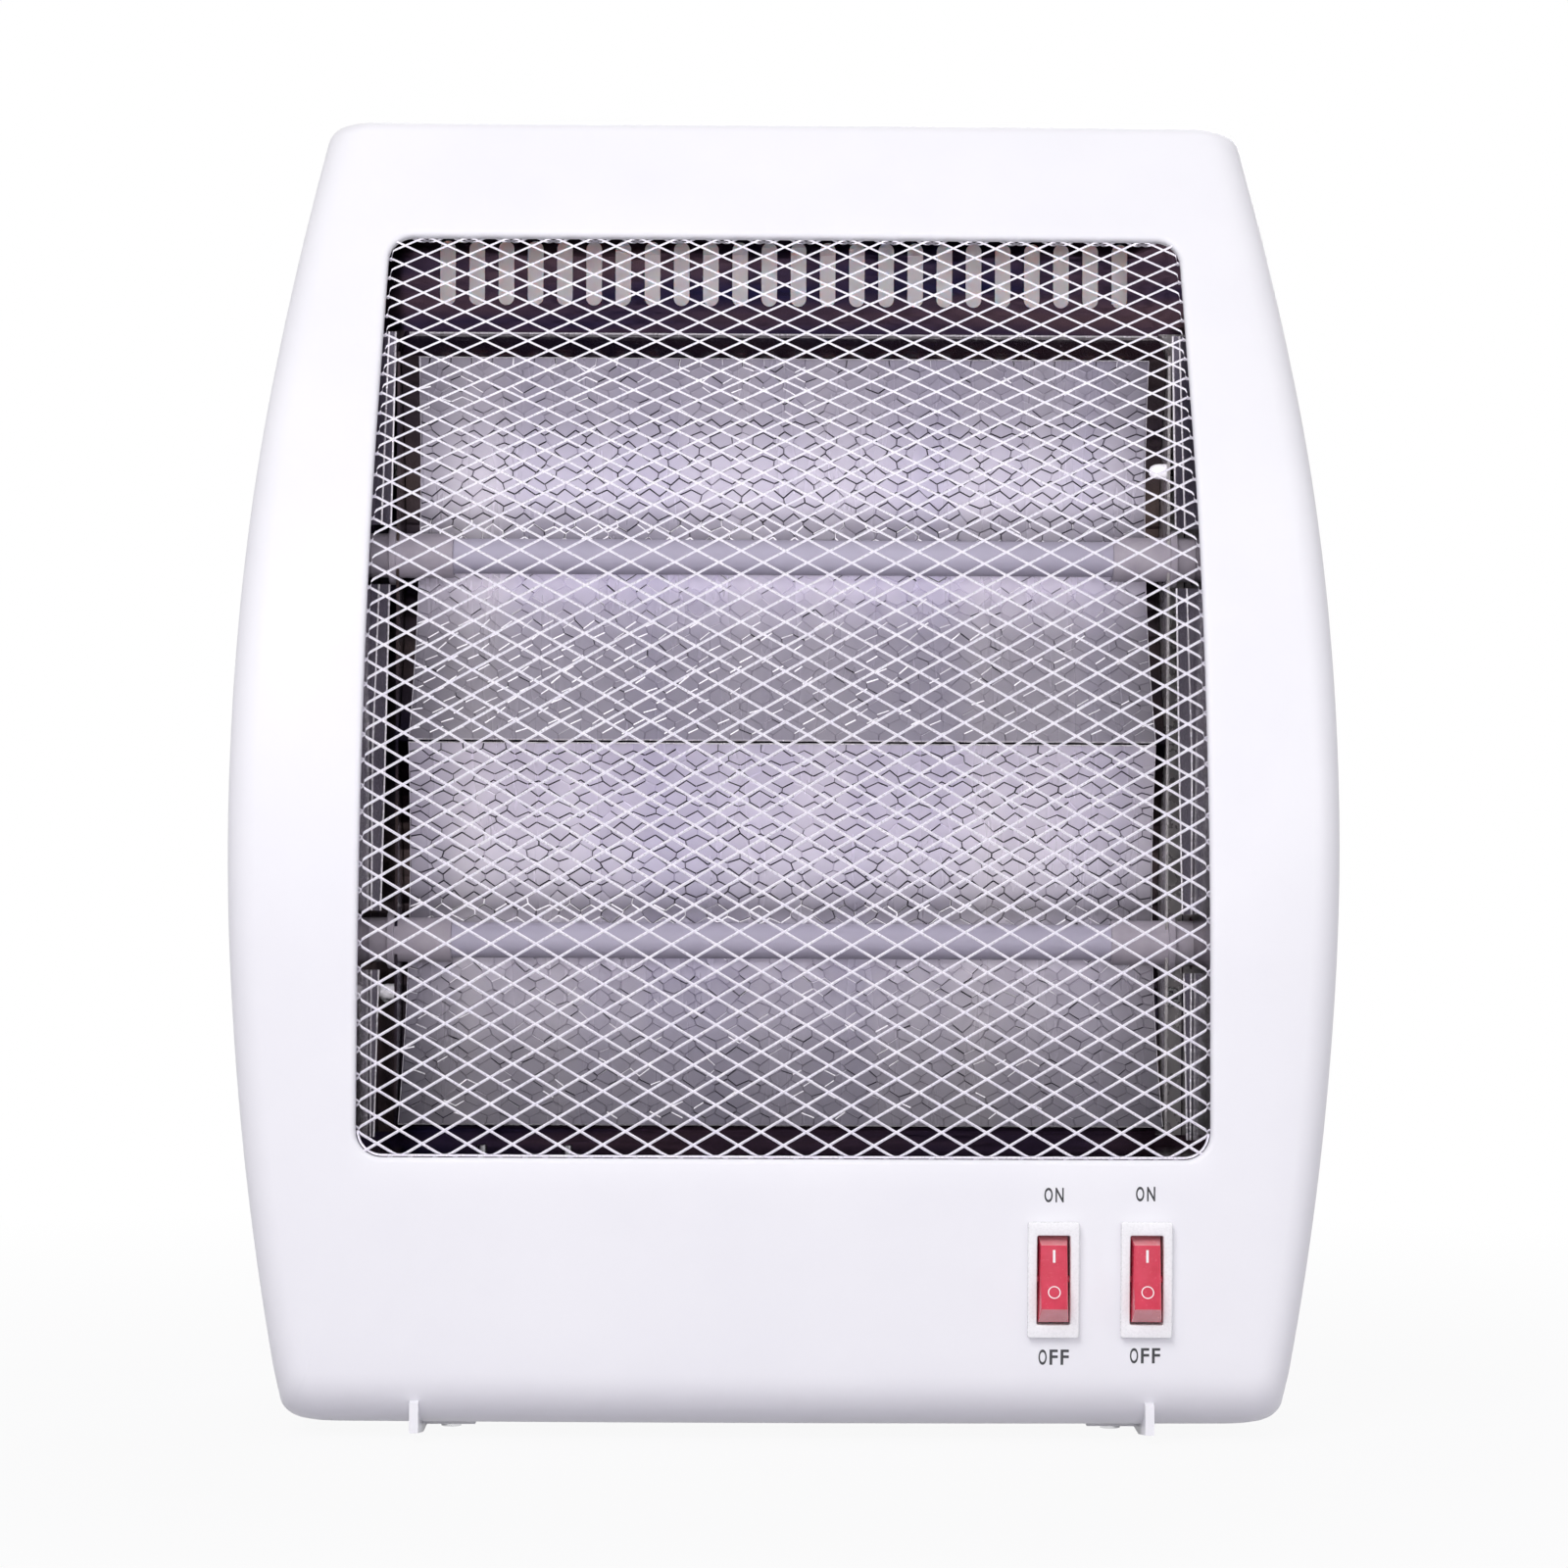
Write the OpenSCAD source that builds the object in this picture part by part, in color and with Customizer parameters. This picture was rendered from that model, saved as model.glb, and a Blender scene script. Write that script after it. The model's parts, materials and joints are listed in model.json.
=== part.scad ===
// Free-standing electric heater with two horizontal quartz tubes behind a diamond mesh.
// Millimetres. X points right seen from the front, Y to the back, Z up. The feet stand on z = 0.

/* [Body] */
// Width of the body at its widest
body_w = 300; // [290:1:320]
// Depth of the two covers together
body_d = 140; // [136:1:150]
// Height of the top face above the floor
body_top = 368; // [364:1:380]
// Gap between the body and the floor
foot_gap = 3.6; // [3:0.1:6]
// Wall of the moulded covers
wall = 2.2; // [1.8:0.1:2.8]
// Depth of the rear cover
rear_d = 14; // [12:0.5:16]
// Height of the widest place of the side outline
side_apex_z = 170; // [150:1:190]
// Radius of the side outline above its widest place
side_r_up = 1090; // [950:10:1300]
// Radius of the side outline below its widest place
side_r_low = 885; // [750:5:1100]
// From where the front starts to lean back to the top face
lean_drop = 243; // [235:1:250]
// Radius of the leaning part of the front
front_r = 275; // [260:1:300]
// Steepest lean of the front, in degrees
front_lean = 35; // [30:0.5:37]
// Height below which the front curves back again
low_z = 100; // [90:1:110]
// Radius of that lower curve
low_r = 1500; // [1200:10:3000]
// How far the front is crowned from the middle to the sides
crown = 3; // [1:0.1:5]
// Radius of the long front edges
edge_r = 10; // [7:0.5:12]
// Draft of the sides, in degrees
draft = 0.3; // [0.2:0.1:2]
// Radius of the lower front edge
bottom_r = 15; // [10:0.5:18]
// Radius of the upper front edge
top_r = 8; // [6:0.5:10]
// Radius of the corners of the outline
corner_r = 6; // [6:0.5:10]
// Radius of the rear edge
rear_r = 6; // [5:0.5:8]

/* [Window] */
// Height of the lower edge of the window
win_bottom = 76; // [74:0.5:80]
// From the upper edge of the window to the top face
win_rim_top = 36; // [34:0.5:42]
// Width of the frame beside the window, at its lower edge
win_rim_side = 36.25; // [35:0.25:40]
// How much narrower the window is at its upper edge
win_taper = 2.5; // [0:0.5:6]
// Radius of the corners of the window
win_r = 7; // [4:0.5:12]

/* [Mesh] */
// Diamonds side by side across the window
net_cols = 9; // [7:1:9]
// Diamonds from the lower to the upper edge
net_rows = 18; // [12:1:18]
// Width of one strand
net_strand = 1.2; // [0.8:0.1:2]
// Thickness of the mesh
net_t = 0.8; // [0.6:0.1:1.2]
// How far the mesh reaches behind the sides of the window
net_side = 8; // [7:0.5:9]
// How far the mesh reaches behind its lower and upper edge
net_end = 5; // [3:0.5:6]
// Number of mesh clips on each side
clip_count = 3; // [2:1:4]

/* [Heat shield] */
// From the side of the window to the inside of the sheet-metal box
shield_side_gap = 2.75; // [2.25:0.25:4]
// Thickness of its sheet
shield_t = 0.8; // [0.6:0.1:1]
// From the front of its back wall to the back of the heater
shield_back = 34; // [32:0.5:36]
// From its bottom to the lower edge of the window
shield_gap_low = 5; // [3:0.5:7]
// From its top to the upper edge of the window
shield_gap_top = 6; // [3:0.5:8]
// Number of air slots
slot_count = 24; // [12:1:26]
// Pitch of the air slots
slot_pitch = 8.46; // [8:0.02:9]
// Width of an air slot
slot_w = 4.5; // [3:0.1:5]
// Height of an air slot
slot_h = 18.5; // [12:0.5:20]
// From the middle of the air slots to the upper edge of the window
slot_drop = 8.7; // [8:0.1:12]

/* [Reflector] */
// From the side of the box to the end of the reflector
reflector_side_gap = 8; // [7:0.5:10]
// Thickness of its sheet
reflector_t = 0.6; // [0.5:0.1:0.8]
// From the lower edge of the window to its lower edge
reflector_gap_low = 2.5; // [1.5:0.5:4]
// From its upper edge to the air slots
reflector_gap_top = 17.55; // [17.55:0.25:25.05]
// Depth of one trough
trough_d = 22; // [16:0.5:23]
// From the front edge of the troughs to the shield's back wall
trough_front = 28; // [27:0.5:32]

/* [Heating tubes] */
// Outer diameter of a quartz tube
tube_d = 10; // [9:0.1:11]
// Wall of a quartz tube
tube_wall = 1; // [0.8:0.1:1.2]
// From the end of a quartz tube to the end of the reflector
tube_gap = 8.5; // [8:0.5:10]
// From the tube axis to the front edge of the troughs
tube_in = 4; // [2:0.5:6]
// How far the tube lies below the middle of its trough
tube_drop = 2; // [0:0.5:4]
// Diameter of the heating coil
coil_d = 6.5; // [5:0.1:7]
// Diameter of a ceramic cap
cap_d = 12.6; // [12.2:0.1:13.4]
// Depth of the socket in a ceramic cap
cap_socket = 6.5; // [5:0.5:9]
// How far a ceramic cap reaches past the end of the tube
cap_tail = 20; // [17:0.5:22]

/* [Switches] */
// Distance of the right switch from the side of the body
switch_side = 53.3; // [50:0.1:60]
// Distance between the two switches
switch_pitch = 24.8; // [20:0.1:26]
// Height of the switches
switch_z = 44.3; // [40:0.1:48]
// Width of a switch bezel
bezel_w = 13.6; // [13:0.1:15]
// Height of a switch bezel
bezel_h = 30.8; // [30:0.1:33]
// Thickness of a switch bezel
bezel_t = 1.8; // [1.2:0.1:2.4]
// Width of a rocker
rocker_w = 8.2; // [7.5:0.1:8.4]
// Length of a rocker
rocker_l = 23.2; // [21:0.1:23.4]
// Swing of a rocker to each side of its middle, in degrees
rocker_swing = 12; // [8:0.5:13]
// Depth of the rocker pivot below the bezel face
pivot_depth = 3; // [2.5:0.1:3.5]
// Diameter of the rocker pins
pivot_d = 2; // [1.6:0.1:2.4]
// Gap round a rocker
rocker_gap = 0.3; // [0.3:0.05:0.5]

/* [Tip-over switch] */
// Place of the plunger across the heater
tip_x = -30; // [-50:1:0]
// Place of the plunger from front to back
tip_y = 5; // [-10:1:15]
// Diameter of the plunger
plunger_d = 8; // [7:0.1:9]
// Travel of the plunger
plunger_travel = 5; // [3:0.5:6]
// Gap between the plunger and the floor
plunger_lift = 0.2; // [0.1:0.1:0.4]
// Radial clearance of the plunger
plunger_fit = 0.08; // [0.05:0.01:0.1]

/* [Rear] */
// Number of air slots in one row of the rear cover
vent_count = 21; // [11:1:23]
// Pitch of these slots
vent_pitch = 9; // [8:0.1:9]
// Height of these slots
vent_h = 34; // [20:1:40]
// Width of these slots
vent_w = 4; // [3:0.1:5]
// Width of the grip recess
grip_w = 110; // [90:1:120]
// Height of the grip recess
grip_h = 22; // [20:0.5:24]
// Depth of the grip recess
grip_d = 18; // [14:0.5:19]
// From the middle of the grip recess to the top face
grip_drop = 22; // [20:0.5:24]
// Radius of the bore for the mains lead
cord_r = 3.5; // [3:0.1:4]
// Distance of the mains lead from the side of the body
cord_side = 45; // [40:1:60]
// Height of the mains lead
cord_z = 30; // [26:0.5:34]

/* [Feet and screws] */
// Distance of the feet from the sides of the body
foot_side = 52; // [46:0.5:60]
// Thickness of a foot blade
foot_t = 2.4; // [2:0.1:3]
// Height of the front tip of a foot
foot_tip = 11; // [9:0.5:12]
// How far the lower front corner of a foot is cut back
foot_nose = 20; // [10:0.5:22]
// Height of that cut
foot_nose_h = 2.6; // [1:0.1:2.8]
// Width of a foot's flange
foot_flange = 14; // [12:0.5:16]
// Shank diameter of the screws
screw_d = 3; // [2.6:0.1:3.2]
// Head diameter of the screws
head_d = 5.6; // [5.2:0.1:6]
// Head height of the screws
head_h = 1.5; // [1.2:0.1:1.5]
// Diameter of the screw bosses
boss_d = 8; // [7.5:0.5:9]

/* [Hidden] */
$fn = 48;

// Small clearances and steps
fit = 0.2;       // between pieces that sit in each other
seat = 0.05;     // between faces that rest on each other
eps = 0.01;
pilot = 0.05;    // radial play of a screw in its pilot hole

// Sizes and places that follow from the body and the window
lean_z = body_top - lean_drop;
win_top = body_top - win_rim_top;
win_w_low = body_w - 2*win_rim_side;
win_w_top = win_w_low - win_taper;
shield_w = win_w_low + 2*shield_side_gap;
shield_bottom = win_bottom - shield_gap_low;
shield_top = win_top + shield_gap_top;
slot_z = win_top - slot_drop;
reflector_w = shield_w - 2*reflector_side_gap;
reflector_low = win_bottom + reflector_gap_low;
trough_h = (slot_z - slot_h/2 - reflector_gap_top - reflector_low)/2;
tube_l = reflector_w - 2*tube_gap;
switch_x = body_w/2 - switch_side - switch_pitch;
grip_z = body_top - grip_drop;
cord_x = body_w/2 - cord_side;
foot_x = body_w/2 - foot_side;

// The rocker in its own plane: v runs up the switch, h out of it, from the pivot
rocker_side = rocker_l/2;
rocker_tip_v = rocker_side - 1.9;
rocker_tip_h = 6;
rocker_mid_h = 4.6;
gland_flange_t = 2;

// The body is placed so that the whole heater is centred from front to back
function low_off(z) = z < low_z ? low_r - sqrt(low_r*low_r - pow(low_z - z, 2)) : 0;
function crown_at(x) = crown*pow(2*x/body_w, 2);
switch_tilt = asin((low_z - switch_z)/low_r);
rocker_reach = rocker_tip_v*sin(rocker_swing) + rocker_tip_h*cos(rocker_swing) - pivot_depth + bezel_t;
rocker_low = rocker_tip_v*cos(rocker_swing) - rocker_tip_h*sin(rocker_swing);
front_proud = rocker_reach*cos(switch_tilt) - rocker_low*sin(switch_tilt) - low_off(switch_z)
  - crown_at(switch_x - bezel_w/2) + seat;
span_y = front_proud + body_d + gland_flange_t;
front_y = -span_y/2 + front_proud;
back_y = front_y + body_d;
part_y = back_y - rear_d;
bot_z = foot_gap;
floor_z = bot_z + wall;

// The leaning front: an arc, then a straight slope, then the rounded upper edge
lean_z1 = lean_z + front_r*sin(front_lean);
lean_off = front_r*(1 - cos(front_lean));
lean_len = front_r*front_lean*PI/180;
top_zc = body_top - top_r;
top_zt = top_zc + top_r*sin(front_lean);
top_off = lean_off + (top_zt - lean_z1)*tan(front_lean) + top_r*cos(front_lean);

function round_back(r, h) = sqrt(max(0, r*r - h*h));

// Distance of the front from its foremost plane at height z, for a surface t inside the outer one
function front_off(z, t = 0) =
  z > top_zc + (top_r - t)*sin(front_lean) ? top_off - round_back(top_r - t, z - top_zc)
  : z > lean_z + (front_r - t)*sin(front_lean) ? lean_off + (z - lean_z1)*tan(front_lean) + t/cos(front_lean)
  : z > lean_z ? front_r - round_back(front_r - t, z - lean_z)
  : z < bot_z + bottom_r ? low_off(z) + bottom_r - round_back(bottom_r - t, bot_z + bottom_r - z)
  : low_off(z) + t;

// Half width of the outline at height z, t inside the outer one
function side_arc(z) = let (r = z > side_apex_z ? side_r_up : side_r_low)
  body_w/2 - r + sqrt(r*r - pow(z - side_apex_z, 2));
function half_w(z, t = 0) = side_arc(z)
  - (z < bot_z + corner_r ? corner_r - round_back(corner_r - t, bot_z + corner_r - z)
    : z > body_top - corner_r ? corner_r - round_back(corner_r - t, z - body_top + corner_r)
    : t);

// Heights at which the covers are cut into rings
function ring_zs(t = 0) = let (
    top_z0 = top_zc + (top_r - t)*sin(front_lean),
    corner_z = min(body_top - corner_r, top_z0 - 0.3))
  concat(
    [for (a = [0, 20, 40, 60, 75]) bot_z + bottom_r - (bottom_r - t)*cos(a)],
    [for (k = [0:2]) bot_z + bottom_r + (low_z - bot_z - bottom_r)*k/2],
    [for (k = [0:8]) lean_z + (front_r - t)*sin(front_lean*k/8)],
    [(lean_z1 + corner_z)/2, corner_z],
    [for (a = [front_lean, 50, 65, 78, 90]) top_zc + (top_r - t)*sin(a)]);

// One horizontal ring of the front cover, counter-clockwise seen from above
function front_ring(z, t, y_back) = let (
    w = half_w(z, t),
    yf = front_y + front_off(z, t),
    r = min(edge_r - t, (y_back - yf - crown_at(w) - 1)),
    wf = w - (y_back - yf - r)*tan(draft),
    half = concat(
      [for (k = [0:3]) [(wf - r)*k/4, yf + crown_at((wf - r)*k/4)]],
      [for (k = [0:5]) [wf - r + r*sin(18*k), yf + crown_at(wf - r) + r - r*cos(18*k)]],
      [[w, y_back]]))
  concat(
    [for (k = [len(half) - 1:-1:1]) [-half[k][0], half[k][1], z]],
    [for (p = half) [p[0], p[1], z]]);

// The outline of the covers seen from the front, clockwise from the lower middle
function outline_half(t) = [for (z = ring_zs(t)) [half_w(z, t), z]];
function outline(t) = let (h = outline_half(t)) concat(
  [for (k = [0:len(h) - 1]) [-h[k][0], h[k][1]]],
  [for (k = [len(h) - 1:-1:0]) h[k]]);
function outline_ring(y, t) = [for (p = outline(t)) [p[0], y, p[1]]];

// A closed skin over rings of equal count
module loft(rings) {
  n = len(rings[0]);
  m = len(rings);
  points = [for (ring = rings) for (p = ring) p];
  sides = [for (k = [0:m - 2]) for (i = [0:n - 1]) let (a = k*n + i, b = k*n + (i + 1)%n)
    for (f = [[a, a + n, b + n], [a, b + n, b]]) f];
  first = [for (i = [0:n - 1]) i];
  last = [for (i = [n - 1:-1:0]) (m - 1)*n + i];
  polyhedron(points, concat(sides, [first, last]), convexity = 8);
}

module front_solid(t, y_back) loft([for (z = ring_zs(t)) front_ring(z, t, y_back)]);

// A plate in the Y-Z plane, centred on x
module side_plate(x, t) translate([x - t/2, 0, 0]) rotate([90, 0, 90]) linear_extrude(t) children();
// A prism along Y from y0 to y1 of an outline in X-Z
module deep(y0, y1) translate([0, y1, 0]) rotate([90, 0, 0]) linear_extrude(y1 - y0) children();
// A cylinder along Y from y0 to y1
module rod_y(x, z, r, y0, y1) translate([x, y1, z]) rotate([90, 0, 0]) cylinder(r = r, h = y1 - y0);
// A cylinder along X
module rod_x(y, z, r, x0, x1) translate([x0, y, z]) rotate([0, 90, 0]) cylinder(r = r, h = x1 - x0);
// An upright slot outline
module slot(w, h) {
  square([w, h - w], center = true);
  for (s = [-1, 1]) translate([0, s*(h - w)/2]) circle(d = w);
}
// A lying slot outline
module lying_slot(w, h) {
  square([w - h, h], center = true);
  for (s = [-1, 1]) translate([s*(w - h)/2, 0]) circle(d = h);
}

// Puts its children on the front at x and height z, with -Y out of the surface
function lean_at(z) = z > lean_z1 ? front_lean : z > lean_z ? asin((z - lean_z)/front_r)
  : z < low_z ? -asin((low_z - z)/low_r) : 0;
module on_front(x, z) translate([x, front_y + front_off(z) + crown_at(x), z]) rotate([-lean_at(z), 0, 0])
  children();

// A pan-head screw with its head's seat at the origin and its shank along +Z
module screw(l, cross = true) {
  difference() {
    union() {
      translate([0, 0, -head_h]) cylinder(d = head_d, h = head_h);
      translate([0, 0, -eps]) cylinder(d = screw_d, h = l);
    }
    if (cross) for (a = [0, 90]) rotate([0, 0, a])
      translate([-head_d*0.3, -head_d*0.07, -head_h - eps]) cube([head_d*0.6, head_d*0.14, head_h*0.5]);
  }
}
pilot_r = screw_d/2 + pilot;
pass_r = screw_d/2 + fit;

// ---- Places that several pieces share ----
case_zs = [bot_z + 16, side_apex_z + 14, body_top - 23];
case_len = [36, 40, 22];
case_hold = 12;
boss_bite = 0.6;
function case_x(z) = half_w(z) - wall - boss_d/2 + boss_bite - (z > lean_z1 ? 1 : 0);
switch_xs = [switch_x, switch_x + switch_pitch];
switch_ys = [for (x = switch_xs) front_y + low_off(switch_z) + crown_at(x - bezel_w/2) - seat];
rib_y = wall + crown_at(switch_x + switch_pitch) - crown_at(switch_x) + 0.5;
clip_low = 24;
clip_high = 28;
clip_pitch = (win_top - win_bottom - clip_low - clip_high)/(clip_count - 1);
clip_zs = [for (k = [0:clip_count - 1]) win_bottom + clip_low + k*clip_pitch];
net_in = wall + 2*fit;
clip_in = net_in + net_t + fit;
clip_x = win_w_low/2 + net_side + screw_d/2 + 3.5;
clip_t = 1;
clip_skin = 1.2;
shield_y = back_y - shield_back;
shield_screw_x = shield_w/2 - 3.3;
shield_screw_zs = [reflector_low + 36, reflector_low + 2*trough_h - 30];
shield_screw_l = 12;
plate_x = reflector_w/2 + fit;
trough_y = shield_y - trough_front;
reflector_top = reflector_low + 2*trough_h;
tube_y = trough_y + tube_in;
tube_zs = [for (k = [0, 1]) reflector_low + trough_h*(k + 0.5) - tube_drop];
cap_end = tube_l/2 + cap_tail;
cap_stop = tube_l/2 + 1;
tube_tab_l = 7;
tube_tab_w = 6;
terminal_end = cap_end + 1 + tube_tab_l;
foot_hole_ys = [front_y + 32, back_y - 26];
foot_flange_x = foot_x - foot_t/2 - foot_flange/2;
foot_flange_t = 1.5;
foot_flange_front = 24;
foot_flange_back = 8;
foot_screw_l = 6;
clamp_x = cord_x - 20;
clamp_y = back_y - 26;
clamp_pitch = 22;
clamp_post_h = 14;
clamp_t = 4;
clamp_screw_l = 12;
block_x = 40;
block_y = 20;
block_pitch = 38;
block_post_h = 5;
block_screw_l = 8;
tip_w = 34;
tip_d = 20;
tip_h = 36;
tip_floor = 2.4;
tip_screw_x = tip_w/2 - 4.2;
tip_screw_l = 11;
collar_d = plunger_d + 4.5;
collar_z = floor_z + tip_floor + plunger_travel + 0.3;
collar_h = 3;
stem_d = 4;
tip_roof = 4;
tip_top = floor_z + tip_h;
stem_top = tip_top + 2.2;
cutout_side = 44.5;
cutout_x = cutout_side - shield_w/2;
cutout_y = 0;
cutout_pitch = 24;
cutout_screw_l = 4;
panel_w = bezel_w - 1.8;
panel_h = bezel_h - 2.2;

module window_outline(grow = 0) {
  r = win_r + grow;
  low = win_w_low/2 + grow;
  high = win_w_top/2 + grow;
  z0 = win_bottom - grow;
  z1 = win_top + grow;
  function arc(cx, cz, a0) = [for (k = [0:6]) [cx + r*cos(a0 + 15*k), cz + r*sin(a0 + 15*k)]];
  polygon(concat(arc(high - r, z1 - r, 0), arc(-high + r, z1 - r, 90), arc(-low + r, z0 + r, 180),
    arc(low - r, z0 + r, 270)));
}

module front_cover() {
  color("white") difference() {
    union() {
      difference() {
        front_solid(0, part_y);
        front_solid(wall, part_y + 1);
        deep(front_y - 10, part_y + 1) window_outline();
      }
      // Bosses for the screws that come from the rear cover
      for (s = [-1, 1]) for (k = [0:2])
        rod_y(s*case_x(case_zs[k]), case_zs[k], boss_d/2, part_y - case_len[k], part_y);
      // Bosses for the mesh clips
      for (s = [-1, 1]) for (z = clip_zs) on_front(s*clip_x, z)
        rod_y(0, 0, boss_d/2 - 1, wall - 0.6, clip_in - seat);
      // Posts for the cord clamp and the terminal block
      for (s = [-1, 1]) translate([clamp_x + s*clamp_pitch/2, clamp_y, floor_z - eps])
        cylinder(d = boss_d, h = clamp_post_h + eps);
      for (s = [-1, 1]) translate([block_x + s*block_pitch/2, block_y, floor_z - eps])
        cylinder(d = boss_d, h = block_post_h + eps);
    }
    for (s = [-1, 1]) for (k = [0:2])
      rod_y(s*case_x(case_zs[k]), case_zs[k], pilot_r, part_y - case_hold, part_y + 1);
    for (s = [-1, 1]) for (z = clip_zs) on_front(s*clip_x, z) rod_y(0, 0, pilot_r, clip_skin, clip_in + 1);
    for (s = [-1, 1]) translate([clamp_x + s*clamp_pitch/2, clamp_y, floor_z + 3])
      cylinder(r = pilot_r, h = clamp_post_h);
    for (s = [-1, 1]) translate([block_x + s*block_pitch/2, block_y, bot_z + 0.8])
      cylinder(r = pilot_r, h = block_screw_l + 4);
    for (k = [0, 1]) at_switch(k)
      translate([-panel_w/2 - fit, -3, -panel_h/2 - fit]) cube([panel_w + 2*fit, 8, panel_h + 2*fit]);
    translate([tip_x, tip_y, bot_z - 1]) cylinder(d = plunger_d + 1.4, h = wall + 2);
    for (s = [-1, 1]) translate([tip_x + s*tip_screw_x, tip_y, bot_z - 1]) cylinder(r = pass_r, h = wall + 2);
    for (s = [-1, 1]) translate([tip_x + s*tip_screw_x, tip_y, bot_z - 1])
      cylinder(d = head_d + 2*fit, h = head_h + 1 + seat);
    for (s = [-1, 1]) for (y = foot_hole_ys) translate([s*foot_flange_x, y, bot_z - 1])
      cylinder(r = pilot_r, h = wall + 2);
  }
}

head_sink = 7;
lip_h = 3;
lip_t = 1.2;
module lip_ring(t0, t1) difference() {
  polygon(outline(t0));
  polygon(outline(t1));
}
vent_zs = [for (k = [0:2]) reflector_low + 20 + k*(trough_h - 18)];
module rear_cover() {
  rise = [for (a = [0:15:90]) [rear_r*sin(a), rear_r*(1 - cos(a))]];
  ri = rear_r - wall;
  rise_in = [for (a = [0, 30, 60, 90]) [ri*sin(a), wall + ri*(1 - cos(a))]];
  color("white") difference() {
    union() {
      difference() {
        loft([for (p = concat([[rear_r - rear_d, 0]], rise)) outline_ring(back_y - rear_r + p[0], p[1])]);
        loft([for (p = concat([[rear_r - rear_d - 1, wall]], rise_in))
          outline_ring(back_y - rear_r + p[0], p[1])]);
      }
      // Lip that centres this cover in the front cover
      difference() {
        union() {
          deep(part_y - lip_h, part_y + 2) lip_ring(wall + fit, wall + fit + lip_t);
          deep(part_y, part_y + 2) lip_ring(wall - 0.6, wall + fit + lip_t);
        }
        for (s = [-1, 1]) for (z = case_zs)
          rod_y(s*case_x(z), z, boss_d/2 + 2*fit, part_y - lip_h - 1, part_y + seat);
      }
      for (s = [-1, 1]) for (z = case_zs)
        rod_y(s*case_x(z), z, boss_d/2, part_y + seat, back_y - wall + eps);
      // Posts that carry the heat shield
      for (s = [-1, 1]) for (z = shield_screw_zs)
        rod_y(s*shield_screw_x, z, boss_d/2, shield_y + shield_t + seat, back_y - wall + eps);
      // Pocket of the grip
      translate([0, 0, grip_z]) deep(back_y - grip_d - wall, back_y - wall + eps)
        lying_slot(grip_w + 2*wall, grip_h + 2*wall);
    }
    translate([0, 0, grip_z]) deep(back_y - grip_d, back_y + 1) lying_slot(grip_w, grip_h);
    for (z = vent_zs) for (k = [0:vent_count - 1])
      translate([(k - (vent_count - 1)/2)*vent_pitch, 0, z])
        deep(back_y - wall - 1, back_y + 1) slot(vent_w, vent_h);
    for (s = [-1, 1]) for (z = case_zs) {
      rod_y(s*case_x(z), z, pass_r, part_y - 1, back_y + 1);
      rod_y(s*case_x(z), z, head_d/2 + fit, back_y - head_sink, back_y + 1);
    }
    for (s = [-1, 1]) for (z = shield_screw_zs)
      rod_y(s*shield_screw_x, z, pilot_r, shield_y, shield_y + shield_screw_l + 2);
    rod_y(cord_x, cord_z, gland_neck + seat, back_y - wall - 1, back_y + 1);
  }
}

// ---- Mesh ----
net_w = win_w_low + 2*net_side;
net_u0 = win_bottom - net_end - lean_z;
net_u1 = lean_len + (win_top - lean_z1)/cos(front_lean) + net_end;
net_a = net_w/net_cols/2;
net_b = (net_u1 - net_u0)/net_rows/2;
net_k = net_strand/2*norm([net_a, net_b])/(net_a*net_b);
// A point of the front, u along the curve from where the lean starts and t inside the surface
function curve(u, t) =
  u <= 0 ? [low_off(lean_z + u) + t, lean_z + u]
  : u < lean_len ? let (a = u/front_r*180/PI) [front_r - (front_r - t)*cos(a), lean_z + (front_r - t)*sin(a)]
  : let (v = u - lean_len) [lean_off + v*sin(front_lean) + t*cos(front_lean),
    lean_z1 + v*cos(front_lean) - t*sin(front_lean)];
function net_point(x, u, t) = let (c = curve(u, t)) [x, front_y + c[0] + crown_at(x), c[1]];
function net_id(i, j) = 8*(floor(j/2)*(2*net_cols + 1) + (j%2)*(net_cols + 1) + floor(i/2));
function net_has(i, j) = i >= 0 && i <= 2*net_cols && j >= 0 && j <= 2*net_rows;
function quad(a, b, c, d) = [[a, b, c], [a, c, d]];
// Corners of a crossing are 0 left, 1 top, 2 right, 3 bottom, and 4 more on the back
function net_crossing(i, j) = let (v = net_id(i, j)) concat(
  quad(v, v + 1, v + 2, v + 3), quad(v + 7, v + 6, v + 5, v + 4),
  net_has(i - 1, j + 1) ? [] : quad(v + 1, v, v + 4, v + 5),
  net_has(i + 1, j + 1) ? [] : quad(v + 2, v + 1, v + 5, v + 6),
  net_has(i + 1, j - 1) ? [] : quad(v + 3, v + 2, v + 6, v + 7),
  net_has(i - 1, j - 1) ? [] : quad(v, v + 3, v + 7, v + 4));
function net_rising(i, j) = let (v = net_id(i, j), w = net_id(i + 1, j + 1)) concat(
  quad(v + 1, w, w + 3, v + 2), quad(v + 6, w + 7, w + 4, v + 5),
  quad(v + 2, w + 3, w + 7, v + 6), quad(w, v + 1, v + 5, w + 4));
function net_falling(i, j) = let (v = net_id(i, j), w = net_id(i - 1, j + 1)) concat(
  quad(v, w + 3, w + 2, v + 1), quad(v + 5, w + 6, w + 7, v + 4),
  quad(w + 3, v, v + 4, w + 7), quad(v + 1, w + 2, w + 6, v + 5));
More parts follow.
